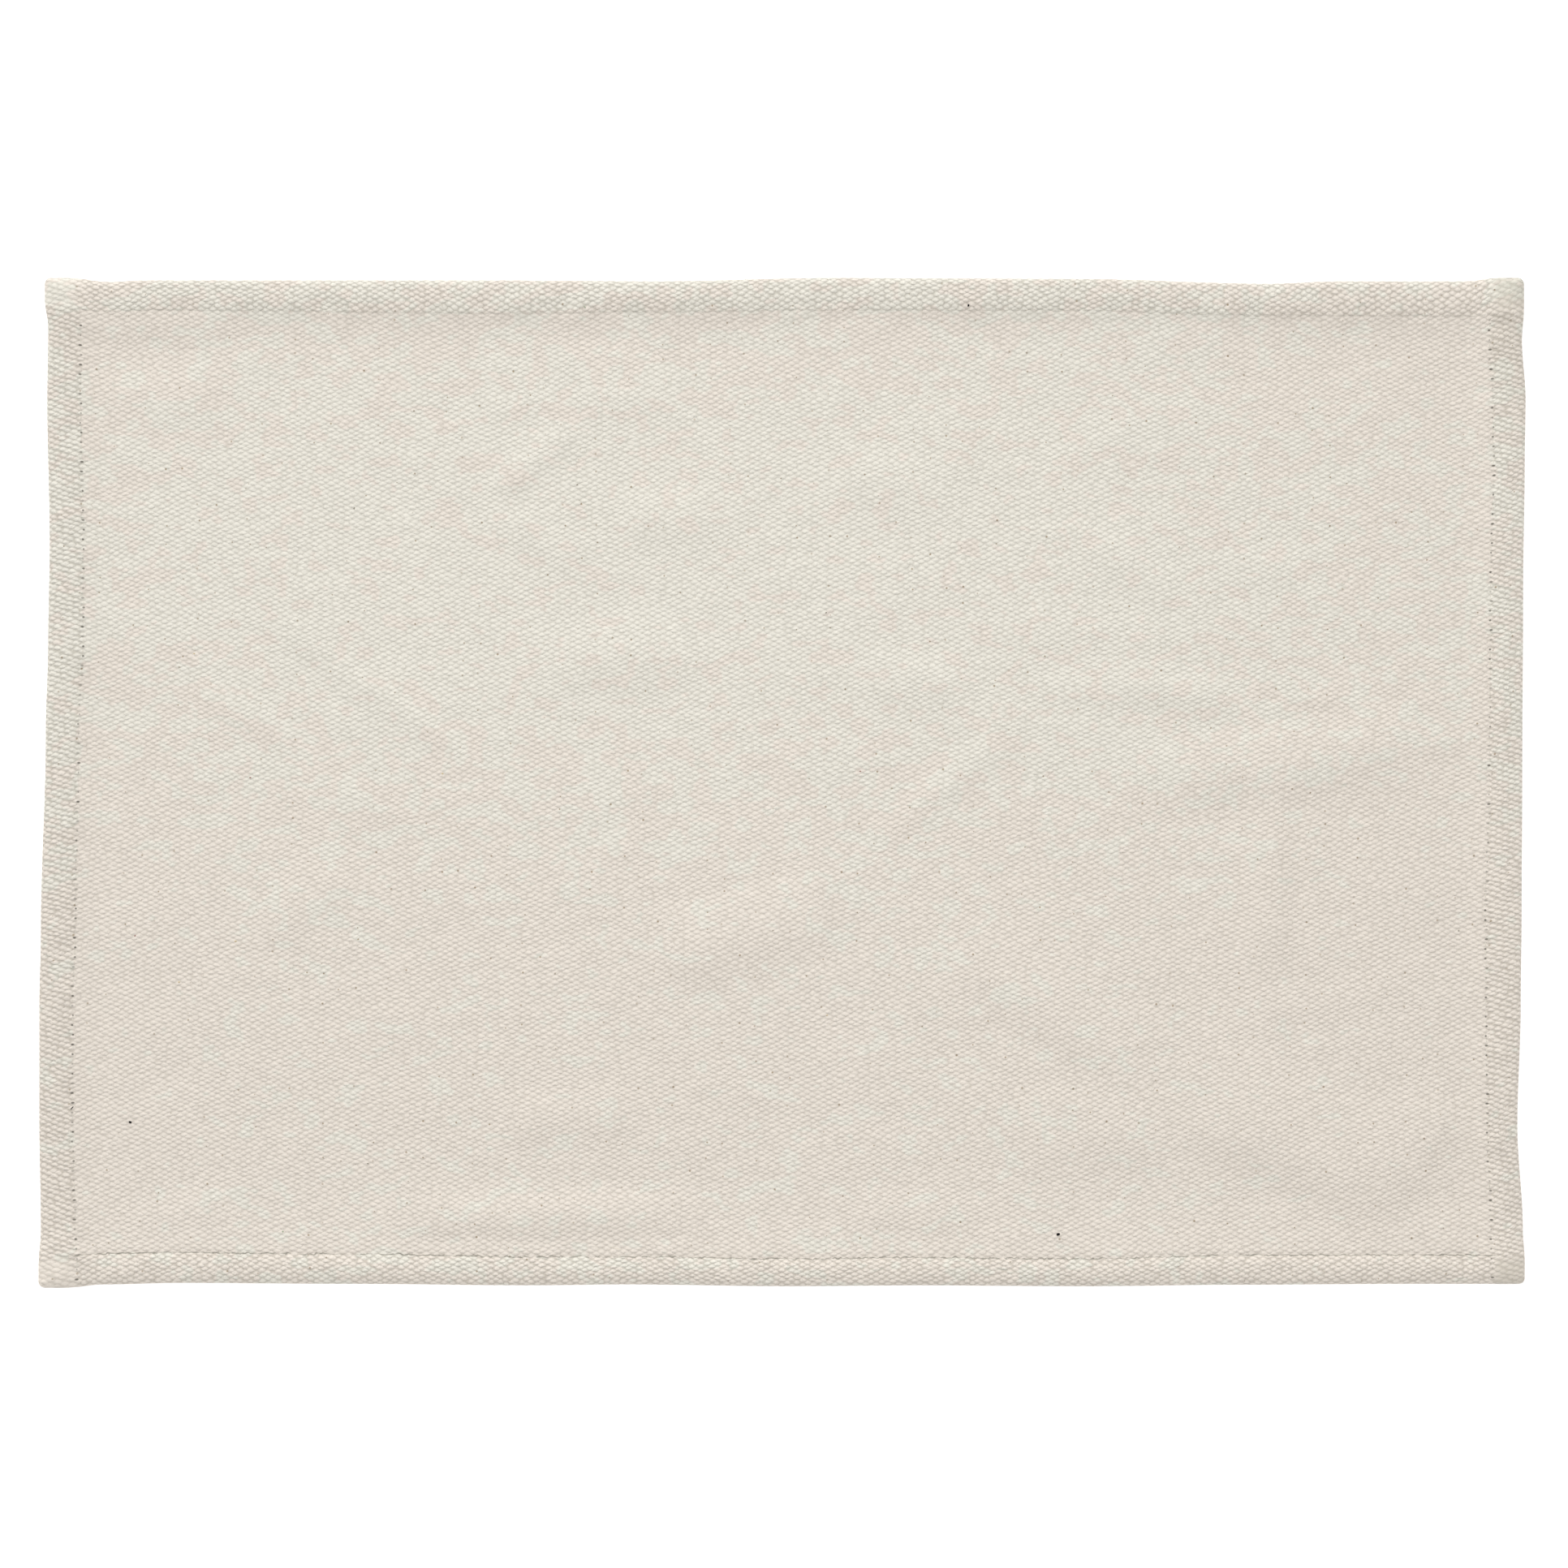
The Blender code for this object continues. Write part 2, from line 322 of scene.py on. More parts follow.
def hem_share(distance, hem, slope):
    """1 over a hem, and beside it the square of 1 less the slope's share: steep, then flatter."""
    left = 1.0 - np.clip((distance - hem) / slope, 0.0, 1.0)
    return left * left


def hem_form(distance, hem, swell, groove, run, along, seed):
    """Swell less groove: half a sine from edge to seam, less an eased dip at the wandering seam."""
    swelling = swell * np.sin(np.pi * np.clip(distance / hem, 0.0, 1.0))
    wander = GROOVE_WANDER * waves(along, np.zeros_like(along), WANDER_LENGTH, seed)
    dip = groove * (1.0 - eased(np.abs(distance - hem + wander) / run))
    return swelling - dip


def pucker(distance, hem, seed, x, y):
    """Small waves that live near a seam and fade away on both sides of it."""
    near_seam = 1.0 - eased(np.abs(distance - PUCKER_MIDDLE * hem) / (PUCKER_REACH * hem))
    return PUCKER * near_seam * waves(x, y, PUCKER_LENGTH, seed)


def turned_edge(distance, hem):
    """Height of the underside at the turned-in edge: 0, then a quarter round up to its radius."""
    run = np.clip((distance - hem - INNER_FOLD + FOLD_ROUND) / FOLD_ROUND, 0.0, 1.0)
    return FOLD_ROUND * (1.0 - np.sqrt(1.0 - run * run))


def back_groove(distance, hem):
    """Eased groove of the underside in which the back thread lies, clear of the table."""
    return BACK_GROOVE * (1.0 - eased(np.abs(distance - hem) / BACK_RUN))


def heights(from_left, from_near, x, y):
    """Face and underside above the table, before the outer edge is rounded."""
    from_side = np.minimum(from_left, LENGTH - from_left)
    from_end = np.minimum(from_near, DEPTH - from_near)
    end_slope = np.where(from_near < DEPTH / 2.0, NEAR_SLOPE, FAR_SLOPE)
    side = hem_share(from_side, SIDE_HEM, SIDE_SLOPE)
    end = hem_share(from_end, END_HEM, end_slope)
    either = side + end - side * end
    dome = np.sin(np.pi / 2.0 * np.clip(np.minimum(from_side, from_end) / CORNER_DOME, 0.0, 1.0))
    corner = (TALLEST - HEM_SWELL - HEM_HEIGHT) * side * end * dome
    plain = CLOTH + (HEM_HEIGHT - CLOTH) * either + corner

    past_side = from_side > SIDE_HEM + INNER_FOLD
    past_end = from_end > END_HEM + INNER_FOLD
    rising_side = turned_edge(from_side, SIDE_HEM)
    rising_end = turned_edge(from_end, END_HEM)
    rising = np.where(past_end, rising_side, np.minimum(rising_side, rising_end))
    rising = np.where(past_side, rising_end, rising)
    rising = np.maximum(rising, back_groove(from_side, SIDE_HEM))
    rising = np.where(past_side, np.maximum(rising, back_groove(from_end, END_HEM)), rising)
    underside = np.where(past_side & past_end, plain - CLOTH, rising)

    near_form = hem_form(from_end, END_HEM, NEAR_SWELL, NEAR_GROOVE, NEAR_RUN, x, 16)
    far_form = hem_form(from_end, END_HEM, HEM_SWELL, FAR_GROOVE, GROOVE_RUN, x, 16)
    form = hem_form(from_side, SIDE_HEM, HEM_SWELL, SEAM_GROOVE, GROOVE_RUN, y, 15)
    form *= 1.0 - CORNER_CALM * end
    form += np.where(from_near < DEPTH / 2.0, near_form, far_form) * (1.0 - side)
    form += pucker(from_side, SIDE_HEM, 11, x, y) + pucker(from_end, END_HEM, 12, x, y)
    body = 1.0 - either
    form += UNEVEN * (0.4 + 0.6 * body) * waves(x, y, UNEVEN_LENGTH, 13, stretch_x=1.5)
    form += FINE_UNEVEN * waves(x, y, FINE_LENGTH, 14, stretch_x=3.0)
    lift = fold_lift(x, y)
    return plain + form + lift, underside + lift


# %% [markdown]
# ## The grid
#
# A grid of equal squares fine enough for the hems would need far too many faces over the
# body. The lines are set close together only where the section bends: around the outer edge,
# at the seam and at the turned-in edge. The face and the underside use the same lines, so the
# rim between them closes with one row of faces.

# %% Grid lines
ROUND_STEPS = 6
# Grid lines in mm past the seam: close together around it, then farther apart down the slope
SEAM_LINES = (-2.6, -1.7, -1.1, -0.7, -0.4, -0.15, 0.12, 0.32, 0.55, 0.75, 0.88, 0.92, 1.3, 1.9)
SLOPE_LINES = (2.7, 3.6, 4.6, 5.7, 7.0, 8.4, 10.0, 12.2)
HEM_STEP = 1.0 * MM
BODY_STEP = 2.6 * MM

turn = np.linspace(0.0, np.pi / 2.0, ROUND_STEPS + 1)
RIM_LINES = EDGE_ROUND * (1.0 - np.cos(turn))


def grid_lines(size, hem):
    """Distances of all lines from one edge to the other, mirrored about the middle."""
    at_seam = hem + np.array(SEAM_LINES + SLOPE_LINES) * MM
    in_hem = np.arange(EDGE_ROUND + HEM_STEP, at_seam[0] - 0.4 * HEM_STEP, HEM_STEP)
    start = np.concatenate([RIM_LINES, in_hem, at_seam])
    steps = int(np.ceil((size - 2.0 * start[-1]) / BODY_STEP))
    between = np.linspace(start[-1], size - start[-1], steps + 1)[1:-1]
    return np.concatenate([start, between, size - start[::-1]])


lines_x = grid_lines(LENGTH, SIDE_HEM)
lines_y = grid_lines(DEPTH, END_HEM)
print(f"{len(lines_x)} x {len(lines_y)} lines, about {4 * len(lines_x) * len(lines_y)} triangles")

# %% [markdown]
# ## The open ends of the side hems
#
# The far and near sides were hemmed first and the left and right sides over them. At the two
# ends of a side hem its rolled layers can be seen from the edge, as a few thin lips above each
# other. The rim there is drawn in between the layers by a row of small arches.

# %% Face, underside and layered ends
END_LAYERS = 4
LAYER_DEPTH = 0.55 * MM
LIPS_FROM = 1.2 * MM  # from the side edge, where the lips begin, and where they end
LIPS_TO = SIDE_HEM - 1.5 * MM
LIPS_FADE = 1.5 * MM
RIM_LEFT = 0.0005  # share of the round that the rim leaves out


def layer_lips(height_share, from_left, from_near):
    """How far the rim is drawn in, at side hem ends only: for each layer an arch, as the square
    of one less the sine of the height's share."""
    from_side = np.minimum(from_left, LENGTH - from_left)
    from_end = np.minimum(from_near, DEPTH - from_near)
    here = 1.0 - eased((from_side - LIPS_TO) / (1.0 * MM))
    here = here * eased((from_side - LIPS_FROM) / LIPS_FADE)
    at_rim = 1.0 - eased(from_end / EDGE_ROUND)
    arch = 1.0 - np.abs(np.sin(np.pi * END_LAYERS * height_share))
    return LAYER_DEPTH * here * at_rim * arch ** 2


def cloth_points(from_left, from_near):
    """Points of the face and of the underside. At the rim both bend to the middle height along a
    quarter ellipse: half the thickness times the root of 1 less run squared. The run stops just
    short of 1, which leaves a rim a tenth of a millimetre high between them."""
    x, y = plan(from_left, from_near)
    face, underside = heights(from_left, from_near, x, y)
    from_side = np.minimum(from_left, LENGTH - from_left)
    from_end = np.minimum(from_near, DEPTH - from_near)
    run = 1.0 - np.clip(np.minimum(from_side, from_end) / EDGE_ROUND, RIM_LEFT, 1.0)
    middle = (face + underside) / 2.0
    half = (face - underside) / 2.0 * np.sqrt(1.0 - run * run)
    surfaces = []
    inward = np.where(from_near < DEPTH / 2.0, 1.0, -1.0)
    for z in (middle + half, middle - half):
        share = (z - underside) / (face - underside)
        lips = layer_lips(share, from_left, from_near)
        surfaces.append(np.stack([x, y + inward * lips, z], axis=-1))
    return surfaces


from_left, from_near = np.meshgrid(lines_x, lines_y, indexing="ij")
face, underside = cloth_points(from_left, from_near)
print(f"face up to {face[..., 2].max() / MM:.2f} mm,",
      f"underside from {underside[..., 2].min() / MM:.2f} mm")

# %% [markdown]
# ## Where each thread of the cloth comes from
#
# The weave must follow the cloth, not the table: over the round of the edge, and back in
# again under the hem. So the piece gets a UV map that counts metres of flat cloth, worked out
# as the length of the path from the left edge and from the near edge. In the side hems the
# turning and the stitches have dragged the rows askew: they run uphill to the right all along
# both hems, least in the near part of the left one, and their floats lie a little farther
# apart. That is a small shear and a small stretch of the same map.

# %% Cloth coordinates
HEM_SPREAD = 1.08  # how many times farther apart the floats of a side hem lie
HEM_END = 0.92 * MM  # past the seam, the grid line where the turned cloth of the hem ends
# Columns: place along the hem from its middle in mm, rise of the rows for each length past the seam
LEFT_DRAG = ((-95.0, -0.08), (-70.0, -0.16), (35.0, -0.19), (80.0, -0.14), (130.0, -0.12))
RIGHT_DRAG = ((-100.0, -0.18), (100.0, -0.17))


def path_lengths(lines, size):
    """Length along the cloth from each edge's line, for the face, and for the turned-under hem."""
    around = EDGE_ROUND * (turn - np.pi / 2.0)
    steps = len(RIM_LINES)
    face_length = lines.copy()
    face_length[:steps] = EDGE_ROUND + around
    face_length[-steps:] = size - EDGE_ROUND - around[::-1]
    low_end, high_end = face_length[0], face_length[-1]
    under = np.where(lines < size / 2.0, 2.0 * low_end - face_length, 2.0 * high_end - face_length)
    return face_length, under


def hem_spread(along_x):
    """Draws the floats of the side hems apart: a distance past a seam is divided by the spread."""
    past = np.minimum(along_x - SIDE_HEM, 0.0) + np.maximum(along_x - (LENGTH - SIDE_HEM), 0.0)
    return along_x - past * (1.0 - 1.0 / HEM_SPREAD)


face_u, under_u = [hem_spread(lengths) for lengths in path_lengths(lines_x, LENGTH)]
face_v, under_v = path_lengths(lines_y, DEPTH)


def shear(along_x, along_y):
    """How far the rows are off in the side hems: the distance past the seam, times the drag
    there, which runs straight from one row of its table to the next."""
    past_left = np.minimum(along_x - SIDE_HEM, 0.0)[:, None]
    past_right = np.maximum(along_x - (LENGTH - SIDE_HEM), 0.0)[:, None]
    height = (along_y - DEPTH / 2.0) / MM
    left, right = [np.interp(height, *np.array(drag).T) for drag in (LEFT_DRAG, RIGHT_DRAG)]
    return left * past_left + right * past_right


def cell_corners(values):
    """The values at the four corners of every grid cell, going round."""
    return np.stack([values[:-1, :-1], values[1:, :-1], values[1:, 1:], values[:-1, 1:]], axis=-1)


def spread(along_x, along_y):
    """Two rows of numbers, one for each direction, spread over the whole grid."""
    return np.meshgrid(along_x, along_y, indexing="ij")


face_map = spread(face_u, face_v)
face_map[1] = face_map[1] + shear(face_u, face_v)
body_map = spread(lines_x, lines_y)
side_map = spread(under_u, face_v)
side_map[1] = side_map[1] + shear(face_u, face_v)
end_map = spread(face_u, under_v)

middle_x = (lines_x[:-1] + lines_x[1:]) / 2.0
middle_y = (lines_y[:-1] + lines_y[1:]) / 2.0
cell_side = np.minimum(middle_x, LENGTH - middle_x)[:, None] < SIDE_HEM + HEM_END
cell_end = np.minimum(middle_y, DEPTH - middle_y)[None, :] < END_HEM + HEM_END
under_map = []
for body, side, end in zip(body_map, side_map, end_map):
    corners = np.where(cell_end[..., None], cell_corners(end), cell_corners(body))
    under_map.append(np.where(cell_side[..., None], cell_corners(side), corners))
print(f"flat cloth from {face_u.min():.4f} to {face_u.max():.4f} m across")

# %% [markdown]
# ## One closed mesh
#
# The face, the underside and the rim between them become one mesh. The faces are index
# arrays, so nothing loops over the points. Beside the UV map the mesh keeps three numbers at
# each point: how far it is past the nearest side seam and the nearest end seam, negative in
# the hems, and a share that is 1 in a hem. The material needs them for the needle holes.

# %% Build the cloth
def grid_quads(columns, rows, first=0):
    """Corner numbers of every cell of a grid whose points are numbered column by column."""
    number = first + np.arange(columns * rows).reshape(columns, rows)
    return cell_corners(number).reshape(-1, 4)


def rim_walk(columns, rows):
    """Point numbers once round the grid's border, seen from above against the clock."""
    number = np.arange(columns * rows).reshape(columns, rows)
    return np.concatenate([number[:-1, 0], number[-1, :-1], number[:0:-1, -1], number[0, :0:-1]])


def add_piece(name, points, faces):
    """A smooth mesh object at the origin, which rides on the only body."""
    mesh = bpy.data.meshes.new(name)
    mesh.from_pydata(points, [], faces)
    mesh.shade_smooth()
    piece = bpy.data.objects.new(name, mesh)
    bpy.context.scene.collection.objects.link(piece)
    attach(piece, "root")
    return piece


columns, rows = from_left.shape
points_each = columns * rows
walk = rim_walk(columns, rows)
after = np.roll(walk, -1)
top_quads = grid_quads(columns, rows)
under_quads = grid_quads(columns, rows, points_each)[:, ::-1]
rim_quads = np.stack([walk, walk + points_each, after + points_each, after], axis=-1)
quads = np.concatenate([top_quads, under_quads, rim_quads])
points = np.concatenate([face.reshape(-1, 3), underside.reshape(-1, 3)])
cloth = add_piece("mat_cloth", points, quads)

top_uv = np.stack([cell_corners(part) for part in face_map], axis=-1).reshape(-1, 2)
under_uv = np.stack([part[..., ::-1] for part in under_map], axis=-1).reshape(-1, 2)
flat_map = np.stack(face_map, axis=-1).reshape(-1, 2)
rim_uv = flat_map[np.stack([walk, walk, after, after], axis=-1)].reshape(-1, 2)
uv = cloth.data.uv_layers.new(name="cloth")
uv.uv.foreach_set("vector", np.concatenate([top_uv, under_uv, rim_uv]).astype(np.float32).ravel())

from_side = np.minimum(from_left, LENGTH - from_left)
from_end = np.minimum(from_near, DEPTH - from_near)
past_side = from_side - SIDE_HEM
past_end = from_end - END_HEM
hem_mask = 1.0 - eased((np.minimum(past_side, past_end) + 0.5 * MM) / (1.0 * MM))
per_point = np.stack([past_side, past_end, hem_mask], axis=-1).reshape(-1, 3)
seams = cloth.data.attributes.new("seams", "FLOAT_VECTOR", "POINT")
seams.data.foreach_set("vector", np.concatenate([per_point, per_point]).astype(np.float32).ravel())

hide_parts("mat")
print(f"{cloth.name}: {2 * len(quads)} triangles")

# %% [markdown]
# ## Sewing thread
#
# Each hem is held by one row of lockstitch. From above only short lengths of thread show,
# sunk between the floats of the weave, with a needle hole between one stitch and the next.
# A bevelled curve could do one stitch. For a thousand of them a small pod of a few dozen
# faces is worked out once as numbers, and then placed along the seams all at the same time.

# %% Stitches
STITCH_PITCH = 3.2 * MM
STITCH_LENGTH = 2.7 * MM
STITCH_UNEVEN = 0.08 * MM
SEAM_MARGIN = 3.0 * MM  # length of a seam without stitches, both ends together
THREAD_RADIUS = 0.2 * MM
THREAD_RISE = 0.05 * MM
THREAD_DIVE = 0.3 * MM
STITCH_RINGS = 5
STITCH_SIDES = 6
POD_TRIANGLES = 2 * STITCH_RINGS * STITCH_SIDES


def seam_places(size, pitch, seed):
    """Plain distances of the stitches' middles along a seam, a little uneven."""
    draw = np.random.default_rng(seed)
    count = int((size - SEAM_MARGIN) / pitch)
    start = (size - (count - 1) * pitch) / 2.0
    return start + pitch * np.arange(count) + draw.normal(0.0, STITCH_UNEVEN, count)


def seam_run(axis, level, size, seed, first, last):
    """Two ends of every stitch of one seam, as plain distances from the left and near edges."""
    middles = seam_places(size, STITCH_PITCH, seed)
    middles = middles[(middles > first) & (middles < size - last)]
    ends = middles[:, None] + np.array([-0.5, 0.5]) * STITCH_LENGTH
    levels = np.full_like(ends, level)
    return (levels, ends) if axis == "y" else (ends, levels)


SEAMS = (
    seam_run("y", SIDE_HEM, DEPTH, 21, 0.0, 0.0),
    seam_run("y", LENGTH - SIDE_HEM, DEPTH, 22, 0.0, 0.0),
    seam_run("x", END_HEM, LENGTH, 23, SIDE_HEM, SIDE_HEM),
    seam_run("x", DEPTH - END_HEM, LENGTH, 24, SIDE_HEM, SIDE_HEM),
)


def pods(starts, ends, outward, radius, rise, dive):
    """Closed pods from start to end. The radius falls as the root of 1 less t to the fourth, t
    running from -1 to 1. The top stands out by the rise, and the ends dive by t squared."""
    t = np.linspace(-1.0, 1.0, STITCH_RINGS + 2)[1:-1]
    angle = np.linspace(0.0, 2.0 * np.pi, STITCH_SIDES, endpoint=False)
    along = (ends - starts)[:, None, None] / 2.0
    middle = (ends + starts)[:, None, None] / 2.0
    way = along / np.linalg.norm(along, axis=-1, keepdims=True)
    up = np.broadcast_to(np.array([0.0, 0.0, outward]), way.shape)
    beside = np.cross(way, up)
    thick = radius * np.sqrt(1.0 - t ** 4)[None, :, None, None]
    bow = rise - radius - dive * (t * t)[None, :, None, None]
    ring = np.cos(angle)[None, None, :, None] * beside + np.sin(angle)[None, None, :, None] * up
    body = middle + along * t[None, :, None, None] + up * bow + ring * thick
    tips = np.stack([starts, ends], axis=1) + (up * (rise - radius - dive))[:, 0]
    return np.concatenate([body.reshape(len(starts), -1, 3), tips], axis=1)


def pod_faces(count):
    """Faces of all pods, outward: quads between the rings, and a fan of triangles at each tip."""
    ring = np.arange(STITCH_SIDES)
    beside = np.roll(ring, -1)
    quads = []
    for first in STITCH_SIDES * np.arange(STITCH_RINGS - 1):
        second = first + STITCH_SIDES
        quads.append(np.stack([ring + first, ring + second, beside + second, beside + first], -1))
    last = (STITCH_RINGS - 1) * STITCH_SIDES
    tip = STITCH_RINGS * STITCH_SIDES
    first_fan = np.stack([ring, beside, np.full_like(ring, tip)], -1)
    last_fan = np.stack([beside + last, ring + last, np.full_like(ring, tip + 1)], -1)
    shifts = (tip + 2) * np.arange(count)[:, None, None]
    faces = []
    for group in (np.concatenate(quads), first_fan, last_fan):
        faces.extend((group[None] + shifts).reshape(-1, group.shape[-1]).tolist())
    return faces


def sew(name, side, outward):
    """All stitches of one side of the cloth as one piece."""
    starts = []
    ends = []
    for seam_left, seam_near in SEAMS:
        ends_on_cloth = cloth_points(seam_left, seam_near)[side]
        starts.append(ends_on_cloth[:, 0])
        ends.append(ends_on_cloth[:, 1])
    starts = np.concatenate(starts)
    ends = np.concatenate(ends)
    placed = pods(starts, ends, outward, THREAD_RADIUS, THREAD_RISE, THREAD_DIVE)
    thread = add_piece(name, placed.reshape(-1, 3), pod_faces(len(starts)))
    print(f"{name}: {len(starts)} stitches, {POD_TRIANGLES * len(starts)} triangles")
    return thread


thread_top = sew("thread_face", 0, 1.0)
thread_under = sew("thread_back", 1, -1.0)

# %% [markdown]
# ## Flecks
#
# Undyed cotton keeps bits of seed husk and a few stray fibres. The countless tiny ones are dots
# of colour in the material. The ones that catch the eye lie on the cloth and have a place of
# their own, so each is a small pod like the stitches, half sunk between the floats.

# %% Husk flecks and stray fibres
BLACK = (0.012, 0.01, 0.01, 1.0)
GREY = (0.26, 0.24, 0.19, 1.0)
RED = (0.33, 0.17, 0.14, 1.0)
YELLOW = (0.62, 0.50, 0.30, 1.0)
GREEN = (0.36, 0.42, 0.30, 1.0)
STRAY = (0.80, 0.74, 0.62, 1.0)
# Columns: x, y, length, turn from +X in degrees, half thickness, in mm, and colour
FLECKS = (
    (90.6, -148.1, 1.4, 10.0, 0.52, BLACK),
    (-213.9, -111.4, 1.2, -15.0, 0.42, BLACK),
    (61.1, 156.4, 1.0, 80.0, 0.34, BLACK),
    (-232.8, -106.6, 1.7, 45.0, 0.22, BLACK),
    (-140.4, 90.1, 0.9, 60.0, 0.24, GREY),
    (-67.2, 97.8, 0.8, 20.0, 0.22, GREY),
    (-135.9, -125.0, 0.8, 0.0, 0.22, GREY),
    (14.5, 55.8, 0.8, 30.0, 0.22, GREY),
    (222.1, -48.6, 0.7, 0.0, 0.2, GREY),
    (-64.6, 155.9, 1.0, -40.0, 0.22, GREEN),
    (-163.7, -147.2, 0.7, 0.0, 0.3, GREEN),
    (-174.5, 1.7, 0.8, 0.0, 0.24, RED),
    (-212.3, -50.2, 0.7, 50.0, 0.24, RED),
    (25.7, 3.8, 0.8, 0.0, 0.2, RED),
    (-179.3, -52.0, 1.0, 20.0, 0.25, YELLOW),
    (-197.9, -65.4, 0.9, 0.0, 0.25, YELLOW),
    (-111.4, 3.0, 1.0, 0.0, 0.22, YELLOW),
    (-192.9, 42.4, 0.8, 0.0, 0.22, YELLOW),
    (14.8, -76.3, 0.8, 30.0, 0.2, YELLOW),
    (-61.0, -152.8, 8.0, 18.0, 0.09, STRAY),
    (-54.5, -152.6, 6.0, -14.0, 0.09, STRAY),
)


def plain_place(x, y):
    """Plain distances of a point of the table: start from its own place, then take off what the
    map adds, a few times over."""
    from_left = x + LENGTH / 2.0
    from_near = y + DEPTH / 2.0
    for _ in range(6):
        mapped_x, mapped_y = plan(from_left, from_near)
        from_left = from_left + x - mapped_x
        from_near = from_near + y - mapped_y
    return from_left, from_near


fleck_x, fleck_y, fleck_length, fleck_turn, fleck_half = np.array([row[:5] for row in FLECKS]).T
reach = np.array([-0.5, 0.5]) * fleck_length[:, None]
angle = np.radians(fleck_turn)[:, None]
end_x = (fleck_x[:, None] + reach * np.cos(angle)) * MM
end_y = (fleck_y[:, None] + reach * np.sin(angle)) * MM
fleck_ends = cloth_points(*plain_place(end_x, end_y))[0]
thick = (fleck_half * MM)[:, None, None, None]
fleck_pods = pods(fleck_ends[:, 0], fleck_ends[:, 1], 1.0, thick, 0.7 * thick, 0.1 * MM)
flecks = add_piece("husk_flecks", fleck_pods.reshape(-1, 3), pod_faces(len(FLECKS)))
fleck_colours = flecks.data.attributes.new("fleck_colour", "FLOAT_COLOR", "POINT")
colours = np.repeat([row[5] for row in FLECKS], fleck_pods.shape[1], axis=0)
fleck_colours.data.foreach_set("color", colours.astype(np.float32).ravel())
print(f"{len(FLECKS)} flecks, {POD_TRIANGLES * len(FLECKS)} triangles")

# %% [markdown]
# ## Short calls for wiring a material
#
# A woven pattern takes a few dozen small sums in the shader. Wiring each node by hand is
# slow to read, so a few helpers add one node each and give back its output.

# %% Wiring helpers
def put(tree, socket, value):
    """Links an output to the socket, or sets the socket's own number or colour."""
    if isinstance(value, bpy.types.NodeSocket):
        tree.links.new(value, socket)
    else:
        socket.default_value = value


def sum_up(tree, operation, *values):
    """One Math node on up to three values."""
    node = tree.nodes.new("ShaderNodeMath")
    node.operation = operation
    for socket, value in zip(node.inputs, values):
        put(tree, socket, value)
    return node.outputs[0]


def sum_vectors(tree, operation, first, second):
    """One Vector Math node on two vectors."""
    node = tree.nodes.new("ShaderNodeVectorMath")
    node.operation = operation
    put(tree, node.inputs[0], first)
    put(tree, node.inputs[1], second)
    return node.outputs[0]


def times(tree, vector, scale):
    """A vector times one number."""
    return sum_vectors(tree, "MULTIPLY", vector, (scale, scale, scale))


def parts_of(tree, vector):
    """The three numbers of a vector."""
    node = tree.nodes.new("ShaderNodeSeparateXYZ")
    put(tree, node.inputs[0], vector)
    return node.outputs[0], node.outputs[1], node.outputs[2]


def vector_of(tree, x, y, z=0.0):
    """A vector from three numbers."""
    node = tree.nodes.new("ShaderNodeCombineXYZ")
    for socket, value in zip(node.inputs, (x, y, z)):
        put(tree, socket, value)
    return node.outputs[0]


def ramp(tree, value, low_value, high_value, low_result=0.0, high_result=1.0):
    """An eased climb from one result to the other as the value goes from low to high."""
    node = tree.nodes.new("ShaderNodeMapRange")
    node.interpolation_type = "SMOOTHSTEP"
    for socket, part in zip(node.inputs, (value, low_value, high_value, low_result, high_result)):
        put(tree, socket, part)
    return node.outputs[0]


def mottle(tree, place, size, detail=2.0, stretch=1.0, seed=0.0):
    """Soft noise whose patches are about size long in the place's own unit: number and colour."""
    node = tree.nodes.new("ShaderNodeTexNoise")
    node.noise_dimensions = "3D"
    node.inputs["Scale"].default_value = 1.0
    node.inputs["Detail"].default_value = detail
    shrink = (1.0 / (size * stretch), 1.0 / size, 1.0 / size)
    scaled = sum_vectors(tree, "MULTIPLY", place, shrink)
    shift = (seed, seed * 1.7, seed * 0.6)
    put(tree, node.inputs["Vector"], sum_vectors(tree, "ADD", scaled, shift))
    return node.outputs[0], node.outputs[1]


def mix_colours(tree, share, first, second):
    """The first colour at 0 and the second at 1."""
    node = tree.nodes.new("ShaderNodeMix")
    node.data_type = "RGBA"
    put(tree, node.inputs[0], share)
    put(tree, node.inputs[6], first)
    put(tree, node.inputs[7], second)
    return node.outputs[2]


def new_finish(name, roughness):
    """A material, its node tree and its shader, dull and not metal."""
    finish = bpy.data.materials.new(name)
    finish.use_nodes = True
    shader = finish.node_tree.nodes["Principled BSDF"]
    shader.inputs["Roughness"].default_value = roughness
    shader.inputs["Metallic"].default_value = 0.0
    shader.inputs["Specular IOR Level"].default_value = 0.2
    return finish, finish.node_tree, shader


def on_table(tree):
    """Place on the table in mm, from Object coordinates, because every piece is at the origin."""
    node = tree.nodes.new("ShaderNodeTexCoord")
    return times(tree, node.outputs["Object"], 1.0 / MM)


def emboss(tree, shader, height, depth):
    """Relief from a height: a height of 1 stands out by the depth."""
    node = tree.nodes.new("ShaderNodeBump")
    node.inputs["Distance"].default_value = depth
    put(tree, node.inputs["Height"], height)
    put(tree, shader.inputs["Normal"], node.outputs[0])


def soft_dot(tree, away):
    """1 in the middle, and from 0.4 of the way out an eased fall to 0 at a distance of 1."""
    return ramp(tree, away, 0.4, 1.0, 1.0, 0.0)


